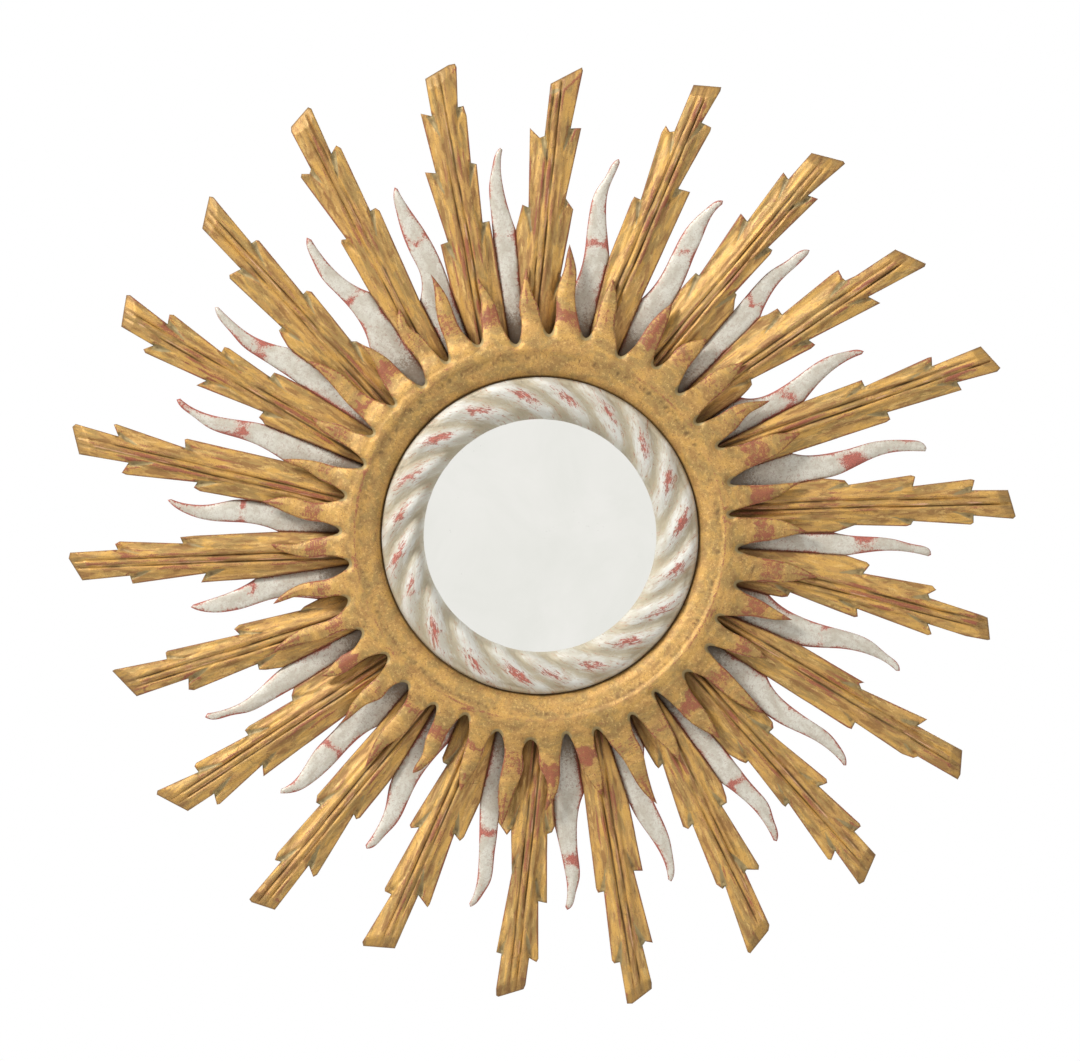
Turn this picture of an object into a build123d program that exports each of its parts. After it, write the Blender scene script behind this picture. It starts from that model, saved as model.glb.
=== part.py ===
"""A carved and gilded sunburst mirror for a wall, in millimetres.

The origin is the middle of the flat back, where it lies on the wall. The mirror looks along -Y, +Z is up and
+X is to the right of a person who looks into it. A level is a distance in front of the wall. A bearing is an
angle in degrees, clockwise from the top as seen from the front. A point on a ray is given as (across, out):
how far it lies clockwise of the ray's own line, and how far outside the circle where the rays' roots end.
"""

import os
from collections import namedtuple
from math import atan2, cos, degrees, radians, sin, tan

from build123d import *

os.makedirs("parts", exist_ok=True)

# Clearances
SEAT_GAP = 0.3  # between carved pieces that are fitted round each other
SEAM_GAP = 0.3  # between the sides of neighbouring rays
GLASS_PLAY = 0.5  # round the glass in its pocket
PILOT_PLAY = 0.05  # round a screw's shank in wood
RUNNING_PLAY = 0.06  # round the hanging ring's bar in its barrel
SWING_GAP = 0.15  # between the hanging ring, lying down, and its strap

# The mirror glass and what holds it
SIGHT_RADIUS = 100.0
GLASS_LAP = 6.0  # how far the rope moulding covers the glass
GLASS_THICKNESS = 4.0
BACKBOARD_LAP = 21.5  # how far the backboard reaches over the hub board
BACKBOARD_THICKNESS = 5.0

# The hub board, which carries the rays and the mouldings
HUB_THICKNESS = 10.0
HUB_RIM = 28.0  # how far it reaches under the rays

# The rope moulding: an arched section with slanting flutes between its strands
ROPE_WIDTH = 35.7
ROPE_SIDE_HEIGHT = 15.0
ROPE_STRANDS = 20
ROPE_PHASE = 1.5
FLUTE_RADIUS = 6.0
FLUTE_DEPTH = 3.0
FLUTE_LENGTH = 60.0
FLUTE_SLANT = 28.0

# The gold ring: a skirt on the hub board, and a crown that overhangs the rays and ends in fingers
SKIRT_WIDTH = 23.7
# (out from the skirt's inner side, height over the rays' ridges at their roots)
CROWN = [(0, 4), (3, 9.5), (9, 13.5), (15, 15), (19, 16.5), (24, 18), (29, 17.5), (36, 16), (44, 13),
         (54, 11), (69, 9.5), (94, 7), (119, 3.6)]

# The rays
SILVER_THICKNESS = 11.0
GOLD_THICKNESS = 17.0  # at the root, under the ridge
RIDGE_RISE = 1.2  # degrees that the ridge climbs on its way out
RIDGE_HALF_WIDTH = 1.3
RIDGE_HEIGHT = 1.4  # over the grooves beside it
GROOVE_FOOT = 2.4  # where a groove is deepest, from the ridge's line
FACET_START = 5.0
FACET_FALL = 13.0  # degrees that a facet falls from the ridge to the edge
FACET_REACH = 48.0
RIDGE_MARKS = (230.0, 80.0)  # the two distances out where each ray's ridge is placed
END_BEVEL = 30.0  # degrees of the hipped end
END_BEVEL_DROP = 7.0  # how far the end edge lies under the ridge
SCOOP_DEPTH = 4.0
SCOOP_LENGTH = 28.0
SCOOP_OVERRUN = 0.8  # how far a scoop starts outside its notch
SCOOP_TURN = 13.0  # degrees that a scoop turns in towards the ridge
SCOOP_SLOPE = 60.0  # degrees from upright of its side towards the tooth's point
SCOOP_WALL = 25.0  # degrees from upright of its side towards the ridge

# Screws
SCREW_SHANK = 1.75
SCREW_HEAD = 3.4
SCREW_HEAD_HEIGHT = 2.2
SCREW_SLOT = 0.9
RAY_SCREW_LENGTH = 16.0
RAY_SCREW_INSET = 13.0  # outside the roots of the rays
MOULDING_SCREW_LENGTH = 20.0
MOULDING_SCREWS = 8
BACKBOARD_SCREW_LENGTH = 13.0
BACKBOARD_SCREWS = 8
BACKBOARD_SCREW_EDGE = 11.0  # in from the backboard's edge

# The hanger: a strap, a wire ring that swings in its barrel, and two round-headed screws
STRAP_WIDTH = 12.0
STRAP_LENGTH = 36.0
STRAP_THICKNESS = 1.0
HANGER_INSET = 12.0  # the ring's axis, outside the roots of the rays
HANGER_SCREW_STEPS = (20.0, 30.0)  # below the ring's axis
HANGER_SCREW_LENGTH = 9.0
HANGER_HEAD_HEIGHT = 1.8
WIRE_RADIUS = 1.2
RING_BAR = 14.0  # the straight stretch of its bar
RING_CORNER = 3.0
RING_SIDE = 1.0

# Sizes that follow
HUB_FRONT = BACKBOARD_THICKNESS + HUB_THICKNESS
GLASS_RADIUS = SIGHT_RADIUS + GLASS_LAP
GLASS_BACK = HUB_FRONT - GLASS_THICKNESS
POCKET_RADIUS = GLASS_RADIUS + GLASS_PLAY
BACKBOARD_RADIUS = POCKET_RADIUS + BACKBOARD_LAP
ROPE_OUTER = SIGHT_RADIUS + ROPE_WIDTH
ROPE_MIDDLE = SIGHT_RADIUS + ROPE_WIDTH / 2
ROPE_CREST = HUB_FRONT + ROPE_SIDE_HEIGHT + ROPE_WIDTH / 2
SKIRT_INNER = ROPE_OUTER + SEAT_GAP
SKIRT_OUTER = SKIRT_INNER + SKIRT_WIDTH
ROOT_RADIUS = SKIRT_OUTER + SEAT_GAP
HUB_RADIUS = ROOT_RADIUS + HUB_RIM
RIDGE_LEVEL = HUB_FRONT + GOLD_THICKNESS
STRAP_BARREL = WIRE_RADIUS + RUNNING_PLAY + STRAP_THICKNESS

# Planes: the front as a person sees it, the back as seen from behind, and a section through the axis with
# the radius across and the level up
FRONT = Plane.XZ
BACK = Plane(origin=(0, 0, 0), x_dir=(-1, 0, 0), z_dir=(0, 1, 0))
SECTION = Plane(origin=(0, 0, 0), x_dir=(1, 0, 0), z_dir=(0, 0, -1))
THROUGH = (Align.CENTER, Align.CENTER, Align.MAX)

# A gold ray is cut off at a slant, and each edge has teeth like those of a leaf. The ridge is where it
# stands, across, at the two RIDGE_MARKS. An edge runs from the tip inwards: the corner of the end, the teeth
# (the notch above the tooth, its point and, on some, a shoulder), and the crotch that ends the free edge.
GoldRay = namedtuple("GoldRay", "bearing ridge left right")
Edge = namedtuple("Edge", "tip teeth crotch")

# A silver ray has the bearing of the gold ray before it, and all its points are given from there: the left
# edge from the tip inwards, the blunt tip, and the right edge. Its ends are its neighbours' crotches.
SilverRay = namedtuple("SilverRay", "left tip right")

GOLD_RAYS = [
    GoldRay(349, (-12, -14),
            Edge([(-22, 243)],
                 [[(-22.5, 210.5), (-31.5, 214.5)], [(-28.5, 162), (-37.5, 164.5)],
                  [(-29.5, 102), (-36, 101)]], (-35, 65)),
            Edge([(0, 251), (5.5, 251), (6.5, 248)],
                 [[(1, 214), (6, 214), (7, 205)], [(3, 165), (7.5, 163)], [(3, 113), (9, 113)]], (9, 97))),
    GoldRay(4, (-11, -16.5),
            Edge([(-18, 227)],
                 [[(-20, 182), (-24, 180), (-33, 188)], [(-29.5, 120), (-35, 122)]], (-39, 100)),
            Edge([(8, 243), (9, 240)],
                 [[(2, 190), (11, 191)], [(2, 130), (5, 126), (9, 121)], [(2, 64)]], (9, 43))),
    GoldRay(20.5, (-2, -9),
            Edge([(-12, 248)],
                 [[(-13.5, 205), (-17, 203), (-22, 207), (-23.5, 200)],
                  [(-20, 140), (-26, 140.5), (-27, 135)]], (-28, 85)),
            Edge([(11, 254.5), (11.5, 251)],
                 [[(6, 220), (15, 219), (15.5, 216)], [(7, 160), (17.5, 161)]], (10.5, 61))),
    GoldRay(37.5, (-2, -9),
            Edge([(-15, 242)],
                 [[(-17, 212), (-24, 214)], [(-23, 162), (-31.5, 164)],
                  [(-27.5, 100), (-31, 100), (-32, 90)]], (-33, 81)),
            Edge([(11, 253), (13.5, 252)],
                 [[(5, 211), (13.5, 214)], [(5, 155), (9, 155.5), (10, 152)],
                  [(6, 107), (8, 106.5), (9.5, 102)]], (14.5, 94))),
    GoldRay(53, (-2, -9),
            Edge([(-12.5, 231), (-15, 190)],
                 [[(-17, 181), (-20, 180), (-28, 181.5), (-28.5, 175)],
                  [(-26.5, 120), (-33, 120), (-34, 110)]], (-36, 104)),
            Edge([(13, 244.5), (14.5, 242)],
                 [[(6, 188), (16.5, 193)], [(5, 125), (11.5, 127), (12, 122)],
                  [(2, 65), (6, 63), (7.5, 58)]], (9, 49))),
    GoldRay(68.5, (-1, -8),
            Edge([(-12.5, 251)],
                 [[(-12, 206), (-19.5, 208.5), (-20, 205)], [(-17, 146), (-23, 145.5)]], (-24, 93)),
            Edge([(11, 260), (13, 256)],
                 [[(9, 221), (16.5, 222)], [(11, 156), (17.5, 156), (18.5, 152)]], (13.5, 67))),
    GoldRay(86, (-2, -9),
            Edge([(-11, 243)],
                 [[(-13, 212), (-21.5, 215), (-22.5, 212)], [(-20, 162), (-28, 164.5), (-29.5, 161)],
                  [(-25, 107), (-29, 104), (-30, 98)]], (-32, 86)),
            Edge([(12, 248), (14, 245.5)],
                 [[(9, 212), (15, 211.5), (16.5, 209)], [(10, 160), (13, 158), (14, 154)],
                  [(10, 110)]], (15, 92))),
    GoldRay(102, (-3, -10),
            Edge([(-11, 230), (-12, 225)],
                 [[(-17, 178), (-20, 176), (-25, 182), (-28, 178)],
                  [(-26, 118), (-34, 122), (-36, 119)]], (-38, 101)),
            Edge([(7, 236), (8, 234), (8.5, 215)],
                 [[(5, 181), (13, 186), (14.5, 183)], [(5, 119), (11.5, 121), (12.5, 118)],
                  [(3, 60), (7, 58.5), (8.5, 54)]], (9, 43))),
    GoldRay(118.5, (0, -7),
            Edge([(-11, 246)],
                 [[(-11, 202), (-20, 207)], [(-16, 145), (-19, 141), (-22, 144.5)]], (-24, 83)),
            Edge([(8, 254.5), (13, 254.5)],
                 [[(12, 215), (15, 212), (16.5, 202)], [(12, 154), (18.5, 154), (19, 150)]], (13.5, 69))),
    GoldRay(135.5, (-2, -9),
            Edge([(-13.5, 237)],
                 [[(-14.5, 210), (-21.5, 210.5), (-22.5, 208)], [(-20, 161), (-27, 164), (-29, 161)],
                  [(-22, 98), (-27, 98), (-30, 94)]], (-31, 87)),
            Edge([(10, 246.5), (14.5, 245)],
                 [[(9, 210), (17, 213.5), (18.5, 211)], [(9, 153), (13, 153.5), (13.5, 150)],
                  [(8, 103), (11, 103), (13, 98)]], (16, 88))),
    GoldRay(152, (-11, -16),
            Edge([(-14, 231), (-17, 227)],
                 [[(-20, 177), (-22, 176), (-31, 181), (-33, 178)],
                  [(-29, 118), (-34, 117.5), (-36, 113)]], (-38, 101)),
            Edge([(9, 241), (10.5, 239)],
                 [[(1, 180), (4, 181), (7, 175)], [(1, 120), (6, 122), (9, 118)],
                  [(-1, 62), (4, 64), (5, 60)]], (6, 42))),
    GoldRay(168, (-1, -8),
            Edge([(-13, 240), (-14, 235)],
                 [[(-13, 202), (-16, 199), (-22, 201.5)], [(-19, 138), (-26.5, 139.5)]], (-27, 80)),
            Edge([(6, 249), (10.5, 248)],
                 [[(9, 212), (14, 212), (15.5, 209)], [(10, 150), (15, 150), (16, 146)]], (9, 64))),
    GoldRay(184, (-3, -9),
            Edge([(-13, 229), (-14.5, 225)],
                 [[(-16, 202), (-22.5, 205), (-24, 202)], [(-20.5, 153), (-28, 154)],
                  [(-24, 95), (-28, 93)]], (-30, 88)),
            Edge([(8, 237), (10, 236), (10.5, 230)],
                 [[(8, 200), (12.5, 199)], [(4, 130), (4.5, 125)], [(7, 93), (10.5, 98)]], (18.5, 88))),
    GoldRay(201.5, (-3, -10),
            Edge([(-14, 215)],
                 [[(-16, 165), (-27, 172), (-28, 169)], [(-25.5, 105), (-32, 109), (-34, 105)]], (-36, 72)),
            Edge([(12, 223), (14, 220)],
                 [[(6, 173), (12, 172.5), (13, 170)], [(5, 111), (11, 114), (13, 112)],
                  [(2, 52), (6, 51.5), (8, 48)]], (8, 35))),
    GoldRay(217.5, (-2, -8),
            Edge([(-15, 233)],
                 [[(-15, 185), (-24, 190.5), (-25.5, 187)], [(-19, 127), (-23, 129), (-25, 126)]], (-26, 82)),
            Edge([(5, 240), (8, 239)],
                 [[(6, 197), (11, 199), (13, 193)], [(9, 138), (13, 138.5), (16, 133)]], (11, 55))),
    GoldRay(234.5, (-3, -9),
            Edge([(-17, 223)],
                 [[(-18, 196), (-27, 199.5), (-28, 197)], [(-22, 148), (-30.5, 153), (-29.5, 110)]],
                 (-29, 65)),
            Edge([(10, 236.5), (12.5, 234)],
                 [[(5, 196), (11, 196), (12.5, 193)], [(6, 143), (11, 143), (12, 138)],
                  [(8, 95), (12, 93)]], (16, 88))),
    GoldRay(250.5, (-2, -9),
            Edge([(-14.5, 212)],
                 [[(-15, 165), (-24, 168), (-26, 164)], [(-23, 105), (-28, 105.5), (-30, 100)]], (-33, 86)),
            Edge([(13, 224.5), (13.5, 222)],
                 [[(7, 177), (12.5, 176), (13.5, 174)], [(6, 111), (12, 114), (14, 109)],
                  [(8, 55), (10, 51)]], (12, 38))),
    GoldRay(266.5, (0, -4),
            Edge([(-14.5, 234)],
                 [[(-13, 193), (-20, 191)], [(-15, 128), (-22.5, 132.5)]], (-22, 86)),
            Edge([(5, 244.5), (10, 243)],
                 [[(10, 202), (15, 204), (17, 200)], [(12, 146), (17.5, 148), (18, 135)]], (17, 64))),
    GoldRay(281.7, (0, -4),
            Edge([(-12, 241)],
                 [[(-10.5, 198), (-20, 202), (-21, 198)], [(-15, 137), (-20, 139), (-22, 133)]], (-21, 92)),
            Edge([(10, 251.5), (13, 249)],
                 [[(10, 211), (19, 217), (20, 215)], [(12, 153), (19, 155), (20, 153)]], (18, 68))),
    GoldRay(298.5, (-2, -8),
            Edge([(-14, 241)],
                 [[(-15, 209), (-22, 215), (-24, 212)], [(-20, 155), (-27.5, 160.5)],
                  [(-20, 99), (-26, 100), (-27, 96)]], (-29, 93)),
            Edge([(12, 250), (13.5, 247)],
                 [[(7, 207), (15, 209.5), (16.5, 206)], [(8, 155), (13, 155), (14, 151)],
                  [(9, 108), (14, 107), (15, 100)]], (15.5, 86))),
    GoldRay(314.6, (-4, -11),
            Edge([(-16, 231)],
                 [[(-17.5, 183), (-28, 186.5), (-30, 184)],
                  [(-28.5, 123), (-32, 123), (-34, 118)]], (-37, 107)),
            Edge([(8, 246), (10, 243)],
                 [[(5, 192), (9.5, 191), (11, 189)], [(5, 130), (9, 130), (11.5, 126)],
                  [(5, 72), (8, 69), (10, 62)]], (12, 57))),
    GoldRay(330.6, (-2, -8),
            Edge([(-14, 250), (-16, 246)],
                 [[(-17, 210), (-20, 207), (-26, 210.5), (-28, 208)],
                  [(-20, 143), (-24, 144.5), (-25.5, 142)]], (-25, 94)),
            Edge([(7, 257.5), (9, 255)],
                 [[(5, 213), (12, 217), (14.5, 213)], [(10, 154), (15, 154), (17, 150)]], (9, 66))),
]

SILVER_RAYS = [
    SilverRay([(27, 171), (20, 158), (15, 145), (12, 125), (10, 105)],
              [(30, 173), (31.5, 171)],
              [(27, 155), (26, 140), (27, 120)]),
    SilverRay([(43, 166), (35, 152), (27, 138), (23, 120), (22, 100), (20, 75), (16, 60)],
              [(45, 167), (46, 164)],
              [(43, 155), (38, 140), (37, 125), (39, 105)]),
    SilverRay([(43, 163), (36, 154), (30, 143), (25, 130), (22, 112), (20, 90), (16, 73)],
              [(46.5, 164), (47, 161)],
              [(42, 148), (41, 130), (40, 110), (39.5, 92)]),
    SilverRay([(31, 173), (25, 158), (19, 142), (16, 125), (15, 105)],
              [(34.5, 175), (35.5, 172)],
              [(34, 158), (31, 140), (32, 120)]),
    SilverRay([(38, 155), (32, 145), (27, 133), (24, 115), (24, 100), (23, 80), (19, 62)],
              [(41, 157), (42, 154)],
              [(38, 130), (40, 108)]),
    SilverRay([(47, 175), (40, 165), (34, 150), (30, 135), (28, 115), (25, 95), (20, 78)],
              [(52, 176), (54, 174)],
              [(49, 162), (44, 145), (43, 130), (45, 105)]),
    SilverRay([(36, 173), (30, 160), (25, 145), (21, 125), (18.5, 105)],
              [(40, 173.5), (41, 171)],
              [(37, 158), (34, 140), (34, 120)]),
    SilverRay([(46, 165), (38, 153), (30, 138), (26, 120), (25, 100), (23, 80), (17, 57)],
              [(49.5, 166), (50, 163)],
              [(44, 150), (41, 135), (41, 115), (44, 95)]),
    SilverRay([(44, 163), (36, 152), (31, 140), (29, 125), (27, 105), (22, 83)],
              [(48, 165), (49, 163)],
              [(44, 148), (42, 130), (43, 110)]),
    SilverRay([(36, 168), (28, 155), (22, 143), (20, 125), (18, 102)],
              [(39, 169.5), (40.5, 167)],
              [(36, 152), (34, 135), (35, 118)]),
    SilverRay([(37, 153), (29, 138), (24, 122), (22, 105), (21, 85), (15, 60)],
              [(40, 155), (41.5, 152)],
              [(37, 130), (39, 105)]),
    SilverRay([(41, 158), (34, 147), (28, 135), (25, 115), (22, 95), (17, 78)],
              [(44, 159), (45, 156)],
              [(40, 140), (39, 120), (39, 100)]),
    SilverRay([(34, 160), (27, 150), (22, 140), (20, 120), (19, 100)],
              [(37.5, 162), (38.5, 159)],
              [(34, 145), (33, 125), (34, 98)]),
    SilverRay([(37, 143), (30, 130), (24, 115), (22, 95), (20, 72), (14, 50)],
              [(40, 144.5), (42, 142)],
              [(38, 122), (38, 105), (41, 90)]),
    SilverRay([(38, 148), (31, 140), (26, 128), (22, 110), (20, 90), (17, 70)],
              [(42, 151), (44, 148)],
              [(39, 130), (41, 105), (39, 85)]),
    SilverRay([(36, 162), (28, 145), (22, 132), (19, 115), (17.5, 100)],
              [(40, 164.5), (41.5, 161)],
              [(35, 145), (32, 130), (34, 105)]),
    SilverRay([(39, 140), (32, 128), (28, 115), (26, 95), (25, 72), (18, 50)],
              [(42, 143), (43.5, 140)],
              [(43, 125), (43, 105)]),
    SilverRay([(46, 154), (39, 145), (33, 132), (29, 115), (27, 95), (23, 77)],
              [(50, 157), (50.5, 154)],
              [(45, 137), (44, 120), (46, 105)]),
    SilverRay([(47, 166), (40, 153), (33, 138), (30, 120), (28, 98), (23, 80)],
              [(51, 169), (52.5, 166)],
              [(46, 150), (44, 135), (45, 108)]),
    SilverRay([(35, 175), (27, 158), (21, 142), (19, 125), (17.5, 102)],
              [(39, 178.5), (40.5, 176)],
              [(35, 155), (33, 137), (35, 120)]),
    SilverRay([(38, 159), (31, 145), (26, 130), (25, 110), (24, 90), (19, 70)],
              [(41.5, 162), (43, 158)],
              [(39, 135), (39, 115)]),
    SilverRay([(35, 158), (29, 143), (25, 128), (22, 105), (20.5, 85), (15, 73)],
              [(38, 161.5), (39.5, 159)],
              [(40, 140), (42, 120), (42, 95)]),
]

# The gold ring's fingers, each of its own shape. A point is (bearing, out). A finger has the points up its
# left side, its tip, the points down its right side, and the bottom of the notch that follows it.
Finger = namedtuple("Finger", "left tip right notch")

FINGERS = [
    Finger([(4.1, 23), (4.0, 40), (4.2, 55), (5.1, 68), (5.4, 80)], (5.8, 91),
           [(6.9, 80), (7.9, 68), (8.2, 52), (8.9, 38), (10.0, 28), (10.9, 21)], (13.0, 13.5)),
    Finger([(14.6, 23), (14.6, 40), (15.0, 55)], (15.9, 68.5),
           [(17.2, 60), (18.3, 50), (19.0, 38), (19.8, 28), (21.2, 20)], (23.8, 8)),
    Finger([(26.6, 22), (27.0, 35), (27.5, 47), (28.4, 58)], (29.6, 69),
           [(30.3, 62), (31.0, 50), (31.6, 38), (32.0, 28), (32.6, 21)], (34.1, 15)),
    Finger([(35.7, 22), (36.1, 35), (36.9, 45), (38.4, 53)], (40.2, 61),
           [(40.9, 53), (41.3, 40), (41.5, 30), (42.1, 22)], (44.0, 10)),
    Finger([(45.8, 22), (46.2, 35), (47.0, 48), (48.3, 60)], (49.6, 69),
           [(50.5, 60), (51.4, 48), (51.9, 35), (52.0, 23)], (54.0, 5)),
    Finger([(56.0, 23), (56.1, 35), (56.8, 47), (58.3, 59)], (59.6, 68.5),
           [(59.8, 58), (59.8, 47), (60.5, 39), (61.4, 32), (61.9, 24)], (63.4, 10)),
    Finger([(65.2, 22), (65.9, 35), (66.2, 52), (67.2, 67)], (68.6, 80),
           [(69.8, 68), (71.2, 54), (71.8, 40), (72.1, 30), (72.5, 22)], (74.5, 8.5)),
    Finger([(76.3, 22), (77.0, 32), (77.6, 43), (78.0, 55)], (78.4, 67),
           [(79.4, 58), (80.7, 45), (81.5, 33), (81.8, 23)], (83.7, 2.5)),
    Finger([(85.2, 23), (85.7, 38), (86.7, 50), (88.0, 61)], (89.1, 68.5),
           [(89.7, 60), (90.4, 49), (91.2, 38), (91.8, 25)], (93.9, 9.5)),
    Finger([(95.5, 23), (95.9, 40), (96.4, 55), (97.4, 69)], (98.6, 81),
           [(99.6, 68), (100.8, 54), (101.4, 42), (102.1, 26)], (104.1, 13)),
    Finger([(105.7, 23), (106.2, 35), (107.0, 46), (107.7, 56)], (108.5, 68),
           [(109.4, 58), (110.3, 45), (111.0, 33), (112.3, 22)], (114.8, 7)),
    Finger([(116.7, 23), (116.6, 35), (117.1, 47)], (118.5, 60),
           [(119.6, 52), (120.6, 42), (121.3, 32), (121.8, 23)], (123.6, 12)),
    Finger([(125.2, 23), (125.8, 37), (126.6, 52), (127.4, 68)], (128.5, 85),
           [(129.8, 71), (130.4, 58), (130.6, 43), (130.6, 30), (131.0, 23)], (133.4, 11)),
    Finger([(135.6, 22), (136.2, 32), (136.6, 45), (137.4, 60)], (138.5, 73),
           [(139.6, 62), (140.8, 50), (141.5, 38), (141.8, 24)], (143.8, 6)),
    Finger([(145.2, 23), (145.6, 36), (146.3, 50), (147.2, 61)], (148.2, 70),
           [(148.8, 59), (149.6, 48), (150.7, 36), (151.2, 24)], (153.0, 12)),
    Finger([(154.6, 24), (154.5, 42), (155.3, 57), (156.0, 72)], (156.4, 91),
           [(157.8, 80), (158.7, 67), (159.2, 53), (159.9, 41), (161.2, 30), (161.9, 22)], (163.9, 12.5)),
    Finger([(165.3, 24), (165.3, 40), (165.6, 55)], (166.6, 69),
           [(167.9, 60), (169.1, 49), (169.9, 38), (170.6, 24)], (172.6, 11)),
    Finger([(174.2, 22), (174.9, 33), (175.2, 45), (176.0, 58), (177.4, 68)], (179.0, 76.5),
           [(178.6, 66), (178.3, 56), (178.8, 47), (179.9, 40), (180.3, 30), (180.4, 23)], (182.6, 15)),
    Finger([(184.6, 23), (184.1, 37), (184.9, 51), (185.9, 64), (186.6, 77)], (187.5, 92),
           [(188.1, 84), (188.9, 72), (189.4, 55), (189.3, 40), (189.5, 24)], (192.2, 11.5)),
    Finger([(194.5, 22), (194.8, 33), (195.2, 45), (196.1, 56)], (197.3, 69.5),
           [(198.3, 61), (199.0, 52), (199.2, 40), (199.4, 31), (199.7, 22)], (202.3, 6)),
    Finger([(204.9, 22), (205.1, 34), (205.2, 45), (205.9, 55), (206.9, 65)], (208.2, 71),
           [(208.5, 64), (208.3, 53), (208.9, 45), (209.5, 37), (209.8, 24)], (211.8, 10.5)),
    Finger([(214.0, 23), (214.1, 38), (214.7, 50), (215.9, 61), (216.5, 73)], (217.0, 90),
           [(217.8, 80), (218.5, 70), (219.0, 58), (218.9, 44), (218.9, 30), (219.2, 21)], (222.1, 10.3)),
    Finger([(224.5, 21), (224.3, 35), (225.5, 45), (226.1, 57), (226.3, 69)], (226.9, 76.5),
           [(227.1, 67), (227.9, 60), (228.6, 50), (229.0, 38), (229.1, 23)], (231.9, 6.5)),
    Finger([(234.9, 23), (234.8, 36), (235.2, 49), (236.2, 57)], (237.3, 63),
           [(237.8, 54), (238.4, 46), (238.8, 37), (238.7, 28), (239.4, 21)], (241.8, 13.5)),
    Finger([(243.8, 22), (244.4, 32), (244.5, 47), (245.3, 60), (246.0, 72)], (246.2, 91),
           [(247.1, 84), (248.0, 73), (248.6, 59), (248.4, 46), (248.2, 34), (249.0, 22)], (251.8, 13.5)),
    Finger([(253.6, 22), (254.0, 34), (255.1, 43), (255.9, 54), (255.7, 67)], (255.6, 76),
           [(256.8, 69), (257.9, 59), (258.6, 48), (258.6, 37), (258.5, 24)], (261.7, 5)),
    Finger([(264.6, 23), (264.4, 36), (265.3, 49), (266.4, 61)], (268.1, 71),
           [(268.2, 61), (268.0, 52), (268.4, 44), (269.2, 35), (269.7, 24)], (271.3, 11.5)),
    Finger([(273.3, 23), (273.6, 36), (274.4, 50), (275.6, 64)], (277.0, 80),
           [(277.7, 73), (278.5, 64), (278.8, 54), (278.4, 43), (278.3, 34), (278.9, 24)], (281.4, 10.5)),
    Finger([(283.6, 22), (284.2, 33), (285.2, 43), (286.0, 54), (286.0, 63)], (286.5, 69.5),
           [(287.3, 61), (288.0, 50), (288.5, 38), (288.7, 24)], (291.8, 2.5)),
    Finger([(294.8, 23), (295.1, 36), (295.8, 47), (296.5, 55)], (297.3, 58.5),
           [(297.8, 51), (298.5, 42), (299.1, 34), (299.1, 24)], (301.4, 7.5)),
    Finger([(303.5, 22), (304.1, 35), (304.9, 47), (305.8, 59), (306.4, 71)], (306.9, 89.5),
           [(307.9, 81), (308.7, 69), (309.2, 57), (308.8, 43), (308.9, 32), (309.6, 21)], (312, 7.5)),
    Finger([(313.8, 22), (314.4, 29), (315.2, 37), (316.3, 45), (316.6, 54)], (317.0, 64),
           [(317.9, 56), (318.8, 47), (319.4, 38), (319.7, 24)], (322.3, 2.5)),
    Finger([(325.2, 21), (324.8, 37), (325.0, 50), (326.3, 61)], (328.1, 68.5),
           [(328.2, 60), (327.9, 51), (328.8, 42), (329.6, 33), (329.9, 24)], (332, 9)),
    Finger([(333.9, 22), (334.3, 37), (335.1, 51), (336.3, 64)], (337.3, 83),
           [(338.1, 72), (338.7, 60), (338.8, 46), (338.8, 34), (339.5, 23)], (342.3, 11.5)),
    Finger([(344.3, 23), (344.8, 34), (345.7, 44), (346.0, 56)], (346.4, 67.5),
           [(347.4, 58), (348.5, 48), (349.2, 37), (349.6, 24)], (353, 5)),
    Finger([(355.0, 23), (354.8, 38), (355.6, 50), (356.4, 61)], (357.2, 70),
           [(357.5, 60), (358.0, 49), (359.1, 40), (359.9, 31), (360.4, 23)], (362.7, 12.5)),
]


def spot(bearing, across, out):
    """A point of the front, as (X, Z), from its place beside a bearing and outside the rays' roots."""
    turn, reach = radians(bearing), ROOT_RADIUS + out
    return Vector(reach * sin(turn) + across * cos(turn), reach * cos(turn) - across * sin(turn))


def bearing_of(point):
    """The bearing of a point of the front."""
    return degrees(atan2(point.X, point.Y))


def seam(crotch, side):
    """The two ends of a ray's side below a crotch, outer end first. side is 1 clockwise of the crotch."""
    bearing, out = bearing_of(crotch), crotch.length - ROOT_RADIUS
    across = side * SEAM_GAP / 2
    return [spot(bearing, across, out), spot(bearing, across, 0)]


def root_arc(left, right):
    """The rounded root of a ray, from its right end back to its left end."""
    middle = (left + right).normalized() * ROOT_RADIUS
    ThreePointArc(right, middle, left)


def pilot_hole(left, right):
    """The hole in a ray's back for its screw."""
    with BuildSketch(FRONT.offset(HUB_FRONT)) as hole:
        with Locations(screw_spot(left, right)):
            Circle(SCREW_SHANK + PILOT_PLAY)
    extrude(hole.sketch, amount=RAY_SCREW_LENGTH - HUB_THICKNESS + PILOT_PLAY, mode=Mode.SUBTRACT)


def screw_spot(left, right):
    """Where the screw of a ray goes, in the middle of its root."""
    return (left + right).normalized() * (ROOT_RADIUS + RAY_SCREW_INSET)


def front_direction(start, end, climb=0.0):
    """The direction in space from one point of the front to another, climbing towards the viewer."""
    flat = (end - start).normalized()
    return Vector(flat.X * cos(radians(climb)), -sin(radians(climb)), flat.Y * cos(radians(climb)))


def in_space(point, level):
    """A point of the front, placed at a level."""
    return Vector(point.X, -level, point.Y)


def roof_drop(away):
    """How far the roof of a gold ray lies under its ridge, at a distance from the ridge's line."""
    return RIDGE_HEIGHT / 2 + max(away - FACET_START, 0) * tan(radians(FACET_FALL))


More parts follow.
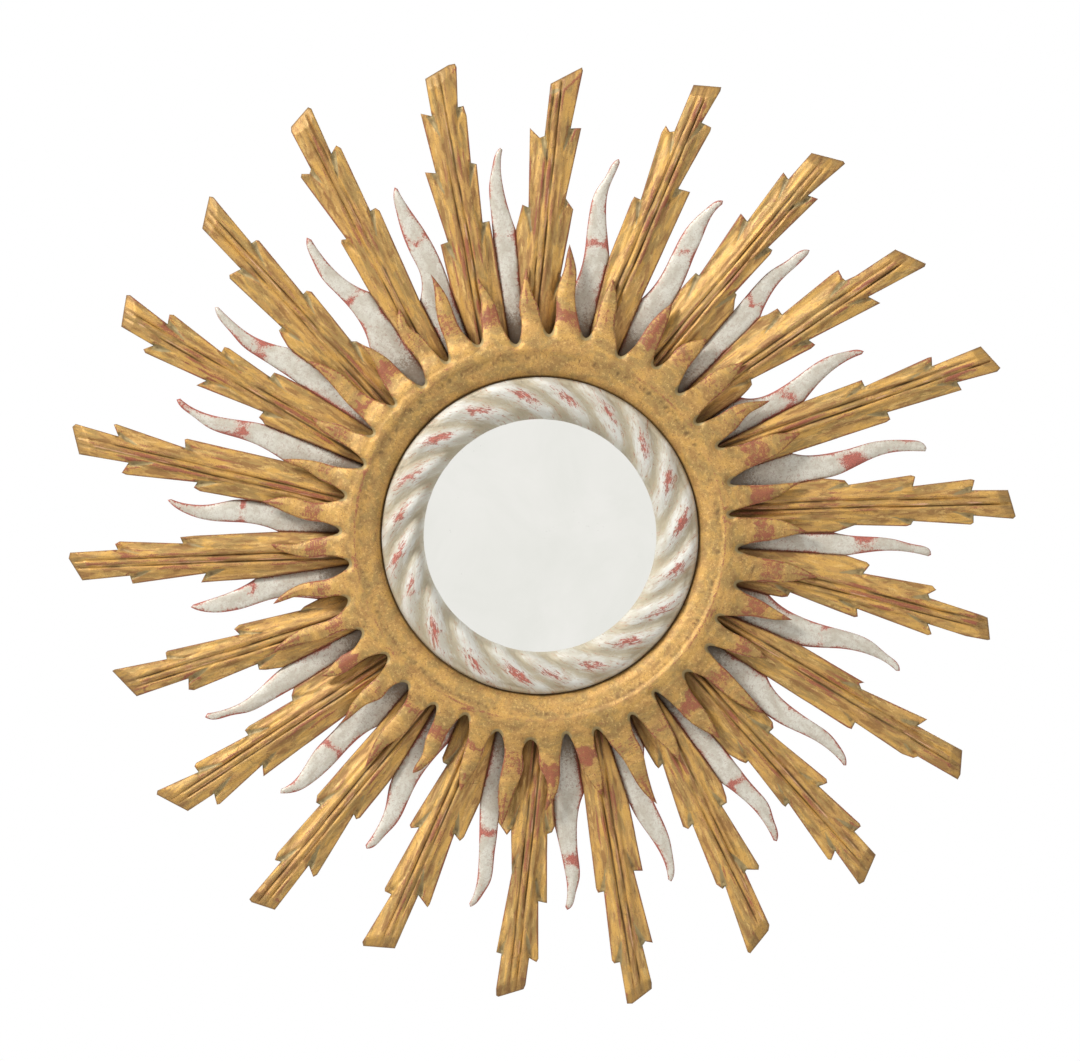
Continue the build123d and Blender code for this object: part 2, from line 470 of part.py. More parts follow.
def ridge_section():
    """The roof of a gold ray, across its ridge: a narrow fillet, a groove each side, and falling facets."""
    half = [(RIDGE_HALF_WIDTH, 0), (GROOVE_FOOT, -RIDGE_HEIGHT), (FACET_START, -roof_drop(FACET_START)),
            (FACET_REACH, -roof_drop(FACET_REACH)), (FACET_REACH, -RIDGE_LEVEL)]
    Polyline(*half, *[(-x, y) for x, y in reversed(half)], close=True)


class Ridge:
    """The line of a gold ray's ridge: where it starts, its direction, and the level along it."""

    def __init__(self, ray):
        outer, inner = [spot(ray.bearing, across, out) for across, out in zip(ray.ridge, RIDGE_MARKS)]
        self.along = (outer - inner).normalized()
        self.start = inner - self.along * RIDGE_MARKS[1]
        self.direction = front_direction(inner, outer, RIDGE_RISE)

    def place(self, point):
        """How far a point lies along the ridge and, clockwise, beside it."""
        offset = point - self.start
        return offset.dot(self.along), offset.X * self.along.Y - offset.Y * self.along.X

    def level(self, point):
        """The level of the roof at a point of the front."""
        along, beside = self.place(point)
        return RIDGE_LEVEL + along * tan(radians(RIDGE_RISE)) - roof_drop(abs(beside))


def cut_end(ridge, left, right):
    """The hipped end: everything above a plane that climbs inwards from the end's edge."""
    edge = front_direction(left, right)
    inwards = Vector(-edge.Z, 0, edge.X)
    if inwards.dot(ridge.direction) > 0:
        inwards = -inwards
    along = ridge.place((left + right) * 0.5)[0]
    level = RIDGE_LEVEL + along * tan(radians(RIDGE_RISE)) - END_BEVEL_DROP
    reach, margin = GOLD_THICKNESS * 2, GOLD_THICKNESS
    plane = Plane(origin=in_space(left, level) - edge * margin, x_dir=inwards, z_dir=edge)
    up = 1 if plane.y_dir.Y < 0 else -1
    climb = up * tan(radians(END_BEVEL))
    with BuildSketch(plane) as wedge:
        with BuildLine():
            Polyline((-margin, -margin * climb), (reach, reach * climb), (reach, up * reach * 2),
                     (-margin, up * reach * 2), close=True)
        make_face()
    extrude(wedge.sketch, amount=(right - left).length + 2 * margin, mode=Mode.SUBTRACT)


def cut_scoop(ridge, notch):
    """The V-shaped scoop that runs in and down the ray from a notch between two teeth."""
    side = 1 if ridge.place(notch)[1] > 0 else -1
    turn = radians(SCOOP_TURN) * side
    back = -ridge.along
    way = Vector(back.X * cos(turn) + back.Y * sin(turn), back.Y * cos(turn) - back.X * sin(turn))
    start, end = notch - way * SCOOP_OVERRUN, notch + way * SCOOP_LENGTH
    low = in_space(start, ridge.level(notch) - SCOOP_DEPTH * (1 + SCOOP_OVERRUN / SCOOP_LENGTH))
    high = in_space(end, ridge.level(end))
    line = (high - low).normalized()
    across = Vector(way.Y, 0, -way.X)
    plane = Plane(origin=low, x_dir=across, z_dir=line)
    up = 1 if plane.y_dir.Y < 0 else -1
    height = SCOOP_DEPTH * 2
    wall, slope = side * height * tan(radians(SCOOP_WALL)), side * height * tan(radians(SCOOP_SLOPE))
    with BuildSketch(plane) as scoop:
        with BuildLine():
            Polyline((0, 0), (wall, up * height), (-slope, up * height), close=True)
        make_face()
    extrude(scoop.sketch, amount=(high - low).length, mode=Mode.SUBTRACT)


def edge_points(ray, edge):
    """One free edge of a gold ray on the front, from the tip inwards, without its crotch."""
    points = list(edge.tip)
    for tooth in edge.teeth:
        points += tooth
    return [spot(ray.bearing, across, out) for across, out in points]


def make_gold_ray(ray):
    """A toothed ray with a ridge, grooves, facets, scoops at its notches and a hipped end."""
    ridge = Ridge(ray)
    left = seam(spot(ray.bearing, *ray.left.crotch), 1)
    right = seam(spot(ray.bearing, *ray.right.crotch), -1)
    left_edge, right_edge = edge_points(ray, ray.left), edge_points(ray, ray.right)
    roof = Plane(origin=in_space(ridge.start, RIDGE_LEVEL), x_dir=(-ridge.along.Y, 0, ridge.along.X),
                 z_dir=ridge.direction)
    with BuildPart() as gold_ray:
        with BuildSketch(FRONT.offset(HUB_FRONT)):
            with BuildLine():
                Polyline(left[1], left[0], *reversed(left_edge), *right_edge, right[0], right[1])
                root_arc(left[1], right[1])
            make_face()
        extrude(amount=GOLD_THICKNESS * 2)
        with BuildSketch(roof.offset(-RIDGE_MARKS[1])):
            with BuildLine():
                ridge_section()
            make_face()
        extrude(amount=RIDGE_MARKS[0] * 2, mode=Mode.INTERSECT)
        cut_end(ridge, left_edge[0], right_edge[0])
        for edge in (ray.left, ray.right):
            for tooth in edge.teeth:
                cut_scoop(ridge, spot(ray.bearing, *tooth[0]))
        pilot_hole(left[1], right[1])
    return gold_ray.part, screw_spot(left[1], right[1])


def make_silver_ray(ray, gold, after):
    """A wavy ray with a blunt tip, between one gold ray and the one after it."""
    left = seam(spot(gold.bearing, *gold.right.crotch), 1)
    right = seam(spot(after.bearing, *after.left.crotch), -1)
    left_edge, tip, right_edge = [[spot(gold.bearing, *point) for point in edge] for edge in ray]
    with BuildPart() as silver_ray:
        with BuildSketch(FRONT.offset(HUB_FRONT)):
            with BuildLine():
                Line(left[1], left[0])
                Spline(left[0], *reversed(left_edge), tip[0])
                Line(tip[0], tip[1])
                Spline(tip[1], *right_edge, right[0])
                Line(right[0], right[1])
                root_arc(left[1], right[1])
            make_face()
        extrude(amount=SILVER_THICKNESS)
        pilot_hole(left[1], right[1])
    return silver_ray.part, screw_spot(left[1], right[1])


def save(part, name):
    """Labels a finished piece and writes its file."""
    part.label = name
    export_step(part, f"parts/{name}.step")


def places_behind(points, level):
    """Places at points of a face of the given level, looking backwards out of it."""
    return [Plane(origin=in_space(point, level), x_dir=(-1, 0, 0), z_dir=(0, 1, 0)).location
            for point in points]


def cut_screw_holes(points, level, length):
    """Countersunk holes for screws whose heads lie in a face of the given level."""
    with Locations(*places_behind(points, level)):
        Cylinder(SCREW_SHANK + PILOT_PLAY, length + PILOT_PLAY, align=THROUGH, mode=Mode.SUBTRACT)
        Cone(SCREW_SHANK + PILOT_PLAY, SCREW_HEAD + PILOT_PLAY, SCREW_HEAD_HEIGHT, align=THROUGH,
             mode=Mode.SUBTRACT)


def make_screws(points, level, length):
    """Slotted countersunk screws, their heads flush with a face of the given level."""
    with BuildPart() as screws:
        with Locations(*places_behind(points, level)):
            Cylinder(SCREW_SHANK, length, align=THROUGH)
            Cone(SCREW_SHANK, SCREW_HEAD, SCREW_HEAD_HEIGHT, align=THROUGH)
            Box(SCREW_HEAD * 3, SCREW_SLOT, SCREW_SLOT, align=THROUGH, mode=Mode.SUBTRACT)
    return screws.part


def ring_of(count, radius, first=0.0):
    """Points spread evenly round the middle."""
    step = 360 / count
    return [spot(first + step * i, 0, radius - ROOT_RADIUS) for i in range(count)]


def make_disc(radius, back, front):
    """A plain disc between two levels."""
    with BuildPart() as disc:
        with BuildSketch(FRONT.offset(back)):
            Circle(radius)
        extrude(amount=front - back)
    return disc.part


def make_backboard(screw_points):
    """The thin board that closes the back and lies on the wall, with its screws' holes."""
    with BuildPart() as backboard:
        with BuildSketch(FRONT):
            Circle(BACKBOARD_RADIUS)
        extrude(amount=BACKBOARD_THICKNESS)
        cut_screw_holes(screw_points, 0, BACKBOARD_SCREW_LENGTH)
    return backboard.part


def make_hub_board(ray_points, moulding_points, backboard_points, hanger_points):
    """The annular board that everything is fixed to. The glass lies in its middle."""
    with BuildPart() as hub_board:
        with BuildSketch(FRONT.offset(BACKBOARD_THICKNESS)):
            Circle(HUB_RADIUS)
            Circle(POCKET_RADIUS, mode=Mode.SUBTRACT)
        extrude(amount=HUB_THICKNESS)
        cut_screw_holes(ray_points, BACKBOARD_THICKNESS, RAY_SCREW_LENGTH)
        cut_screw_holes(moulding_points, BACKBOARD_THICKNESS, MOULDING_SCREW_LENGTH)
        cut_screw_holes(backboard_points, 0, BACKBOARD_SCREW_LENGTH)
        with Locations(*places_behind(hanger_points, BACKBOARD_THICKNESS)):
            Cylinder(SCREW_SHANK + PILOT_PLAY, HANGER_SCREW_LENGTH, align=THROUGH, mode=Mode.SUBTRACT)
    return hub_board.part


def make_rope_moulding(screw_points):
    """A round moulding of arched section, fluted on a slant into the strands of a rope."""
    side = HUB_FRONT + ROPE_SIDE_HEIGHT
    with BuildPart() as rope:
        with BuildSketch(SECTION):
            with BuildLine():
                Polyline((SIGHT_RADIUS, side), (SIGHT_RADIUS, HUB_FRONT), (ROPE_OUTER, HUB_FRONT),
                         (ROPE_OUTER, side))
                ThreePointArc((ROPE_OUTER, side), (ROPE_MIDDLE, ROPE_CREST), (SIGHT_RADIUS, side))
            make_face()
        revolve(axis=Axis.Y)
        for strand in range(ROPE_STRANDS):
            bearing = ROPE_PHASE + 360 / ROPE_STRANDS * strand
            middle = spot(bearing, 0, ROPE_MIDDLE - ROOT_RADIUS)
            way = front_direction(Vector(0, 0), spot(bearing + 90 + FLUTE_SLANT, 0, 0))
            flute = Plane(origin=in_space(middle, ROPE_CREST + FLUTE_RADIUS - FLUTE_DEPTH), z_dir=way)
            with BuildSketch(flute):
                Circle(FLUTE_RADIUS)
            extrude(amount=FLUTE_LENGTH / 2, both=True, mode=Mode.SUBTRACT)
        cut_screw_holes(screw_points, BACKBOARD_THICKNESS, MOULDING_SCREW_LENGTH)
    return rope.part


def finger_outline():
    """The closed outline of the fingers, tip to tip: down a side, round the notch and up the next finger."""
    for i, finger in enumerate(FINGERS):
        following = FINGERS[(i + 1) % len(FINGERS)]
        line = [finger.tip, *finger.right, finger.notch, *following.left, following.tip]
        Spline(*[spot(bearing, 0, out) for bearing, out in line])


def make_gold_ring(screw_points):
    """The gold ring: its skirt stands on the hub board, and its fingers lie over the rays."""
    crown = [(SKIRT_INNER + out, RIDGE_LEVEL + height) for out, height in CROWN]
    rim = crown[-1][0]
    under = RIDGE_LEVEL + SEAT_GAP
    under_rim = under + (rim - ROOT_RADIUS) * tan(radians(RIDGE_RISE))
    with BuildPart() as ring:
        with BuildSketch(SECTION):
            with BuildLine():
                Spline(*crown)
                Polyline(crown[-1], (rim, under_rim), (SKIRT_OUTER, under), (SKIRT_OUTER, HUB_FRONT),
                         (SKIRT_INNER, HUB_FRONT), crown[0])
            make_face()
        revolve(axis=Axis.Y)
        with BuildSketch(FRONT):
            with BuildLine():
                finger_outline()
            make_face()
        extrude(amount=crown[0][1] * 2, mode=Mode.INTERSECT)
        cut_screw_holes(screw_points, BACKBOARD_THICKNESS, MOULDING_SCREW_LENGTH)
    return ring.part


def make_hanger_strap(axis_point, axis_level, screw_points):
    """A strap folded round the hanging ring's bar, with a rounded end and two holes."""
    barrel = Plane(origin=in_space(axis_point, axis_level), x_dir=(0, 0, 1), z_dir=(1, 0, 0))
    with BuildPart() as strap:
        with BuildSketch(BACK.offset(-BACKBOARD_THICKNESS)):
            with Locations((0, axis_point.Y - STRAP_LENGTH / 2)):
                Rectangle(STRAP_WIDTH, STRAP_LENGTH)
        extrude(amount=STRAP_THICKNESS)
        fillet(strap.edges().filter_by(Axis.Y).group_by(Axis.Z)[0], STRAP_WIDTH / 2 - SEAT_GAP)
        with BuildSketch(barrel):
            Circle(STRAP_BARREL)
        extrude(amount=STRAP_WIDTH / 2, both=True)
        with BuildSketch(barrel):
            Circle(WIRE_RADIUS + RUNNING_PLAY)
        extrude(amount=STRAP_WIDTH / 2, both=True, mode=Mode.SUBTRACT)
        with Locations(*places_behind(screw_points, 0)):
            Cylinder(SCREW_SHANK + PILOT_PLAY, HUB_FRONT, align=THROUGH, mode=Mode.SUBTRACT)
    return strap.part


def make_hanging_ring(axis_point, axis_level):
    """A D-shaped wire ring. Its straight bar turns in the strap's barrel, and it hangs down at rest."""
    bar, side = RING_BAR / 2, RING_BAR / 2 + RING_CORNER
    foot = -RING_CORNER - RING_SIDE
    corner = RING_CORNER * cos(radians(45))
    wire = BACK.offset(-axis_level).shift_origin((0, -axis_level, axis_point.Y))
    with BuildPart() as ring:
        with BuildLine(wire) as path:
            Line((-bar, 0), (bar, 0))
            ThreePointArc((bar, 0), (bar + corner, corner - RING_CORNER), (side, -RING_CORNER))
            Line((side, -RING_CORNER), (side, foot))
            ThreePointArc((side, foot), (0, foot - side), (-side, foot))
            Line((-side, foot), (-side, -RING_CORNER))
            ThreePointArc((-side, -RING_CORNER), (-bar - corner, corner - RING_CORNER), (-bar, 0))
        with BuildSketch(Plane(origin=path.wires()[0] @ 0, z_dir=path.wires()[0] % 0)):
            Circle(WIRE_RADIUS)
        sweep(path=path.wires()[0])
    return ring.part


def make_hanger_screws(points):
    """Round-headed slotted screws through the strap into the hub board."""
    seat = BACKBOARD_THICKNESS - STRAP_THICKNESS
    with BuildPart() as screws:
        with Locations(*places_behind(points, seat)):
            Cylinder(SCREW_SHANK, HANGER_SCREW_LENGTH, align=THROUGH)
            Cone(SCREW_HEAD * 0.9, SCREW_HEAD * 0.6, HANGER_HEAD_HEIGHT,
                 align=(Align.CENTER, Align.CENTER, Align.MIN))
        with Locations(*places_behind(points, seat - HANGER_HEAD_HEIGHT)):
            Box(SCREW_HEAD * 3, SCREW_SLOT, SCREW_SLOT, align=THROUGH, mode=Mode.SUBTRACT)
    return screws.part


ray_screw_points = []
for number, ray in enumerate(GOLD_RAYS, start=1):
    part, point = make_gold_ray(ray)
    ray_screw_points.append(point)
    save(part, f"gold_ray_{number:02d}")
for number, ray in enumerate(SILVER_RAYS, start=1):
    part, point = make_silver_ray(ray, GOLD_RAYS[number - 1], GOLD_RAYS[number % len(GOLD_RAYS)])
    ray_screw_points.append(point)
    save(part, f"silver_ray_{number:02d}")

half_step = 180 / MOULDING_SCREWS
rope_points = ring_of(MOULDING_SCREWS, (POCKET_RADIUS + ROPE_OUTER) / 2)
ring_points = ring_of(MOULDING_SCREWS, (SKIRT_INNER + SKIRT_OUTER) / 2, half_step)
backboard_points = ring_of(BACKBOARD_SCREWS, BACKBOARD_RADIUS - BACKBOARD_SCREW_EDGE, half_step)
hanger_axis = spot(0, 0, HANGER_INSET)
hanger_level = BACKBOARD_THICKNESS - STRAP_THICKNESS - SWING_GAP - WIRE_RADIUS
hanger_points = [hanger_axis - Vector(0, step) for step in HANGER_SCREW_STEPS]

save(make_hub_board(ray_screw_points, rope_points + ring_points, backboard_points, hanger_points), "hub_board")
save(make_gold_ring(ring_points), "gold_ring")
save(make_rope_moulding(rope_points), "rope_moulding")
save(make_disc(GLASS_RADIUS, GLASS_BACK, HUB_FRONT), "mirror_glass")
save(make_disc(GLASS_RADIUS, BACKBOARD_THICKNESS, GLASS_BACK), "glass_packing")
save(make_backboard(backboard_points), "backboard")
save(make_screws(ray_screw_points, BACKBOARD_THICKNESS, RAY_SCREW_LENGTH), "ray_screws")
save(make_screws(rope_points + ring_points, BACKBOARD_THICKNESS, MOULDING_SCREW_LENGTH), "moulding_screws")
save(make_screws(backboard_points, 0, BACKBOARD_SCREW_LENGTH), "backboard_screws")
save(make_hanger_strap(hanger_axis, hanger_level, hanger_points), "hanger_strap")
save(make_hanging_ring(hanger_axis, hanger_level), "hanging_ring")
save(make_hanger_screws(hanger_points), "hanger_screws")
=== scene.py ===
"""The looks of a carved and gilded sunburst mirror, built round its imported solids.

Carving is worked out in millimetres, on the front plane: x to the right and z up as seen from the front. A
level is a distance in front of the wall. Each carved piece keeps the outline and the height of its solid, and
gets softened edges, tool marks and wear, and colour masks that its material reads.
"""

from math import atan2, pi, radians, tan

import bmesh
import bpy
import numpy as np
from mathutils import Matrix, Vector
from mathutils.bvhtree import BVHTree
from mathutils.geometry import delaunay_2d_cdt


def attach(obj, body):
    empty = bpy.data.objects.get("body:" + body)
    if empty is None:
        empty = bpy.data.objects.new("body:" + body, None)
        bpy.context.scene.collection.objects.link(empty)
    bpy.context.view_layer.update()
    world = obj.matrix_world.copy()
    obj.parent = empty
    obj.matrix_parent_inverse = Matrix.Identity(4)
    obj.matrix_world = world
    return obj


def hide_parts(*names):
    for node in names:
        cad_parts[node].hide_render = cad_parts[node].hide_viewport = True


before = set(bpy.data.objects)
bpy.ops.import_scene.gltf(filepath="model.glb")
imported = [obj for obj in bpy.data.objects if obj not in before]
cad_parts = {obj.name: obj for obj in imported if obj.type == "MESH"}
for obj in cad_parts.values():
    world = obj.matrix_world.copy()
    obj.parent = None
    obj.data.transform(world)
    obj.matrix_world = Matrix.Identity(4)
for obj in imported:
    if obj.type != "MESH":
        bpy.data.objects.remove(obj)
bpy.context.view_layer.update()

MILLIMETRE = 0.001

# In metres: the photograph's width at the view level, how high its middle is, and the camera's distance
VIEW_WIDTH = 0.9256
FRAME_RISE = 0.0043
CAMERA_DISTANCE = 7.0
VIEW_LEVEL = 0.03

# Levels and radii of the solids in millimetres, and the slope at which they climb outwards
HUB_FRONT = 15.0
ROPE_INNER = 100.0
ROPE_OUTER = 135.7
ROPE_FOOT = 15.3
ROPE_SIDE_TOP = 30.0
RING_INNER = 136.0
ROOT_RADIUS = 160.0
RING_UNDERSIDE = 32.3
RING_TOP = 49.95
RISE = tan(radians(1.2))
BEFORE_ALL = 100.0

# How fine the carved meshes are, and how far out and how much their walls fill the seams between rays
SPACING = 1.25
CORNER_TURN = radians(24)
SHARP_EDGE = radians(55)
SEAM_REACH = 262.0
SEAM_FILL = 0.17


def srgb(red, green, blue):
    """A colour written in 0 to 255, as the linear values that a shader takes."""
    def linear(value):
        share = value / 255
        return share / 12.92 if share <= 0.04045 else ((share + 0.055) / 1.055) ** 2.4
    return linear(red), linear(green), linear(blue), 1.0


# Repeatable noise for the carving


def lattice(column, row, seed):
    """A repeatable number from 0 to 1 for each corner of a grid."""
    mask = 0xFFFFFFFF
    mixed = (column * 374761393 + row * 668265263 + seed * 974634777) & mask
    mixed = ((mixed ^ (mixed >> 13)) * 1274126177) & mask
    return ((mixed ^ (mixed >> 16)) & 0xFFFF) / 0xFFFF


def noise(across, along, seed):
    """Smooth noise from -1 to 1, with one bump to a unit."""
    column = np.floor(across).astype(np.int64)
    row = np.floor(along).astype(np.int64)
    right = across - column
    up = along - row
    right = right * right * (3 - 2 * right)
    up = up * up * (3 - 2 * up)
    low = lattice(column, row, seed) * (1 - right) + lattice(column + 1, row, seed) * right
    high = lattice(column, row + 1, seed) * (1 - right) + lattice(column + 1, row + 1, seed) * right
    return 2 * (low * (1 - up) + high * up) - 1


def unit(value):
    """The value, held between 0 and 1."""
    return np.clip(value, 0, 1)


def climb(value, low, high):
    """0 below low, 1 above high, and a smooth climb between them."""
    share = unit((value - low) / (high - low))
    return share * share * (3 - 2 * share)


def bell(value, middle, width):
    """1 in the middle, and about a third at this width to either side of it."""
    return np.exp(-((value - middle) / width) ** 2)


# Reading the solids


def welded(node):
    """A node's mesh in millimetres, with the corners joined that its normals had split."""
    solid = bmesh.new()
    solid.from_mesh(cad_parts[node].data)
    bmesh.ops.scale(solid, vec=(1000, 1000, 1000), verts=solid.verts)
    bmesh.ops.remove_doubles(solid, verts=solid.verts, dist=0.002)
    solid.normal_update()
    return solid


def walk(edges):
    """The closed loops that these edges make, each as a list of points on the front plane."""
    beside = {}
    for edge in edges:
        for corner in edge.verts:
            beside.setdefault(corner, []).append(edge)
    unused = dict.fromkeys(edges)
    loops = []
    while unused:
        edge = next(iter(unused))
        corner = edge.verts[0]
        loop = []
        while edge is not None:
            loop.append((corner.co.x, corner.co.z))
            del unused[edge]
            corner = edge.other_vert(corner)
            edge = next((onward for onward in beside[corner] if onward in unused), None)
        loops.append(np.array(loop))
    return loops


def enclosed(loop):
    """The area inside a loop, above zero where it turns left as seen from the front."""
    following = np.roll(loop, -1, axis=0)
    return np.sum(loop[:, 0] * following[:, 1] - following[:, 0] * loop[:, 1]) / 2


def outline_of(solid, faces):
    """The outer outline of some of a solid's faces, as a loop that turns left."""
    rims = [edge for edge in solid.edges if sum(face in faces for face in edge.link_faces) == 1]
    loop = max(walk(rims), key=lambda points: abs(enclosed(points)))
    return loop if enclosed(loop) > 0 else loop[::-1]


def back_outline(solid):
    """The outline of a ray's flat back."""
    return outline_of(solid, {face for face in solid.faces if face.normal.y > 0.99
                              and face.calc_center_median().y > -HUB_FRONT - 0.01})


def front_outline(solid):
    """The outline of all that faces forwards."""
    return outline_of(solid, {face for face in solid.faces if face.normal.y < -0.2})


def ridge_of(solid):
    """The middle of a gold ray's ridge and the ridge's direction outwards, on the front plane."""
    tops = [face for face in solid.faces
            if face.normal.y < -0.995 and face.calc_center_median().y < -HUB_FRONT - 12]
    points = np.array([(corner.co.x, corner.co.z) for face in tops for corner in face.verts])
    middle = points.mean(axis=0)
    _, _, directions = np.linalg.svd(points - middle)
    outwards = directions[0] if directions[0] @ middle > 0 else -directions[0]
    return middle, outwards


# Building a carved piece


def resample(loop, spacing):
    """A closed loop with its points evenly apart and its corners kept."""
    arriving = loop - np.roll(loop, 1, axis=0)
    leaving = np.roll(loop, -1, axis=0) - loop
    turn = np.abs(np.angle(np.exp(1j * (np.arctan2(leaving[:, 1], leaving[:, 0])
                                        - np.arctan2(arriving[:, 1], arriving[:, 0])))))
    corners = np.flatnonzero(turn > CORNER_TURN)
    if len(corners) == 0:
        corners = np.array([0])
    pieces = []
    for start, end in zip(corners, np.roll(corners, -1)):
        run = loop[start:end + 1] if end > start else np.vstack([loop[start:], loop[:end + 1]])
        steps = np.hypot(*np.diff(run, axis=0).T)
        reach = np.concatenate([[0], np.cumsum(steps)])
        count = max(1, round(reach[-1] / spacing))
        stops = np.linspace(0, reach[-1], count + 1)[:-1]
        pieces.append(np.column_stack([np.interp(stops, reach, run[:, side]) for side in (0, 1)]))
    return np.vstack(pieces)


def inward(rim):
    """For each point of a loop that turns left, the direction into the shape."""
    along = np.roll(rim, -1, axis=0) - np.roll(rim, 1, axis=0)
    along /= np.hypot(*along.T)[:, None]
    return np.column_stack([-along[:, 1], along[:, 0]])


class Rim:
    """A closed loop that measures how far a point is from it."""

    def __init__(self, rim):
        count = len(rim)
        low = [Vector((x, -5, z)) for x, z in rim]
        high = [Vector((x, 5, z)) for x, z in rim]
        faces = [(i, (i + 1) % count, (i + 1) % count + count, i + count) for i in range(count)]
        self.tree = BVHTree.FromPolygons(low + high, faces)

    def away(self, points):
        """Each point's distance from the loop."""
        return np.array([self.tree.find_nearest(Vector((x, 0, z)))[3] for x, z in points])


def front_levels(tree, points):
    """The level of the solid's front at each point, and nan where it isn't."""
    levels = np.full(len(points), np.nan)
    towards_wall = Vector((0, 1, 0))
    for i, (x, z) in enumerate(points):
        hit = tree.ray_cast(Vector((x, -BEFORE_ALL, z)), towards_wall)[0]
        if hit is not None:
            levels[i] = -hit.y
    return levels


def triangulate(points, loops):
    """Triangles over the points, with each loop of point numbers as an edge. A second loop is a hole."""
    edges = [(loop[i - 1], loop[i]) for loop in loops for i in range(len(loop))]
    places = [Vector(point) for point in points]
    _, _, faces, originals, _, _ = delaunay_2d_cdt(places, edges, [], 1, 1e-6)
    number = np.array([origin[0] if origin else -1 for origin in originals])
    faces = number[np.array(faces)]
    faces = faces[(faces >= 0).all(axis=1)]
    one, two, three = (points[faces[:, side]] for side in range(3))
    first = two - one
    second = three - one
    area = first[:, 0] * second[:, 1] - first[:, 1] * second[:, 0]
    faces = np.where((area < 0)[:, None], faces[:, ::-1], faces)
    return faces[np.abs(area) > 1e-7]


def neighbours(faces):
    """Every pair of points that share an edge, both ways round."""
    pairs = np.vstack([faces[:, [0, 1]], faces[:, [1, 2]], faces[:, [2, 0]]])
    pairs = np.unique(np.sort(pairs, axis=1), axis=0)
    return np.vstack([pairs, pairs[:, ::-1]])


def blurred(values, pairs, rounds):
    """The values, each moved halfway to its neighbours' mean, as many times as rounds says."""
    count = np.maximum(np.bincount(pairs[:, 0], minlength=len(values)), 1)
    for _ in range(rounds):
        total = np.bincount(pairs[:, 0], weights=values[pairs[:, 1]], minlength=len(values))
        values = 0.5 * values + 0.5 * total / count
    return values


def rounded_edge(away, radius):
    """How far a rounded edge of this radius lies under the front, at a distance from the rim."""
    short = np.clip(radius - away, 0, radius)
    return radius - np.sqrt(radius ** 2 - short ** 2)


def make_object(name, corners, faces, masks, materials, face_materials=None):
    """A mesh object from corners in millimetres as (x, level, z). A mask holds a value for each corner."""
    mesh = bpy.data.meshes.new(name)
    places = np.column_stack([corners[:, 0], -corners[:, 1], corners[:, 2]]) * MILLIMETRE
    mesh.from_pydata(places.tolist(), [], [list(face) for face in faces])
    for mask, values in masks.items():
        values = np.asarray(values, dtype=np.float32)
        if values.ndim == 1:
            mesh.attributes.new(mask, "FLOAT", "POINT").data.foreach_set("value", values)
        else:
            mesh.attributes.new(mask, "FLOAT_VECTOR", "POINT").data.foreach_set("vector", values.ravel())
    for material in materials:
        mesh.materials.append(material)
    if face_materials is not None:
        mesh.polygons.foreach_set("material_index", np.asarray(face_materials, dtype=np.int32))
    mesh.polygons.foreach_set("use_smooth", np.ones(len(mesh.polygons), dtype=bool))
    mesh.set_sharp_from_angle(angle=SHARP_EDGE)
    mesh.validate()
    mesh.update()
    piece = bpy.data.objects.new(name, mesh)
    bpy.context.scene.collection.objects.link(piece)
    return piece


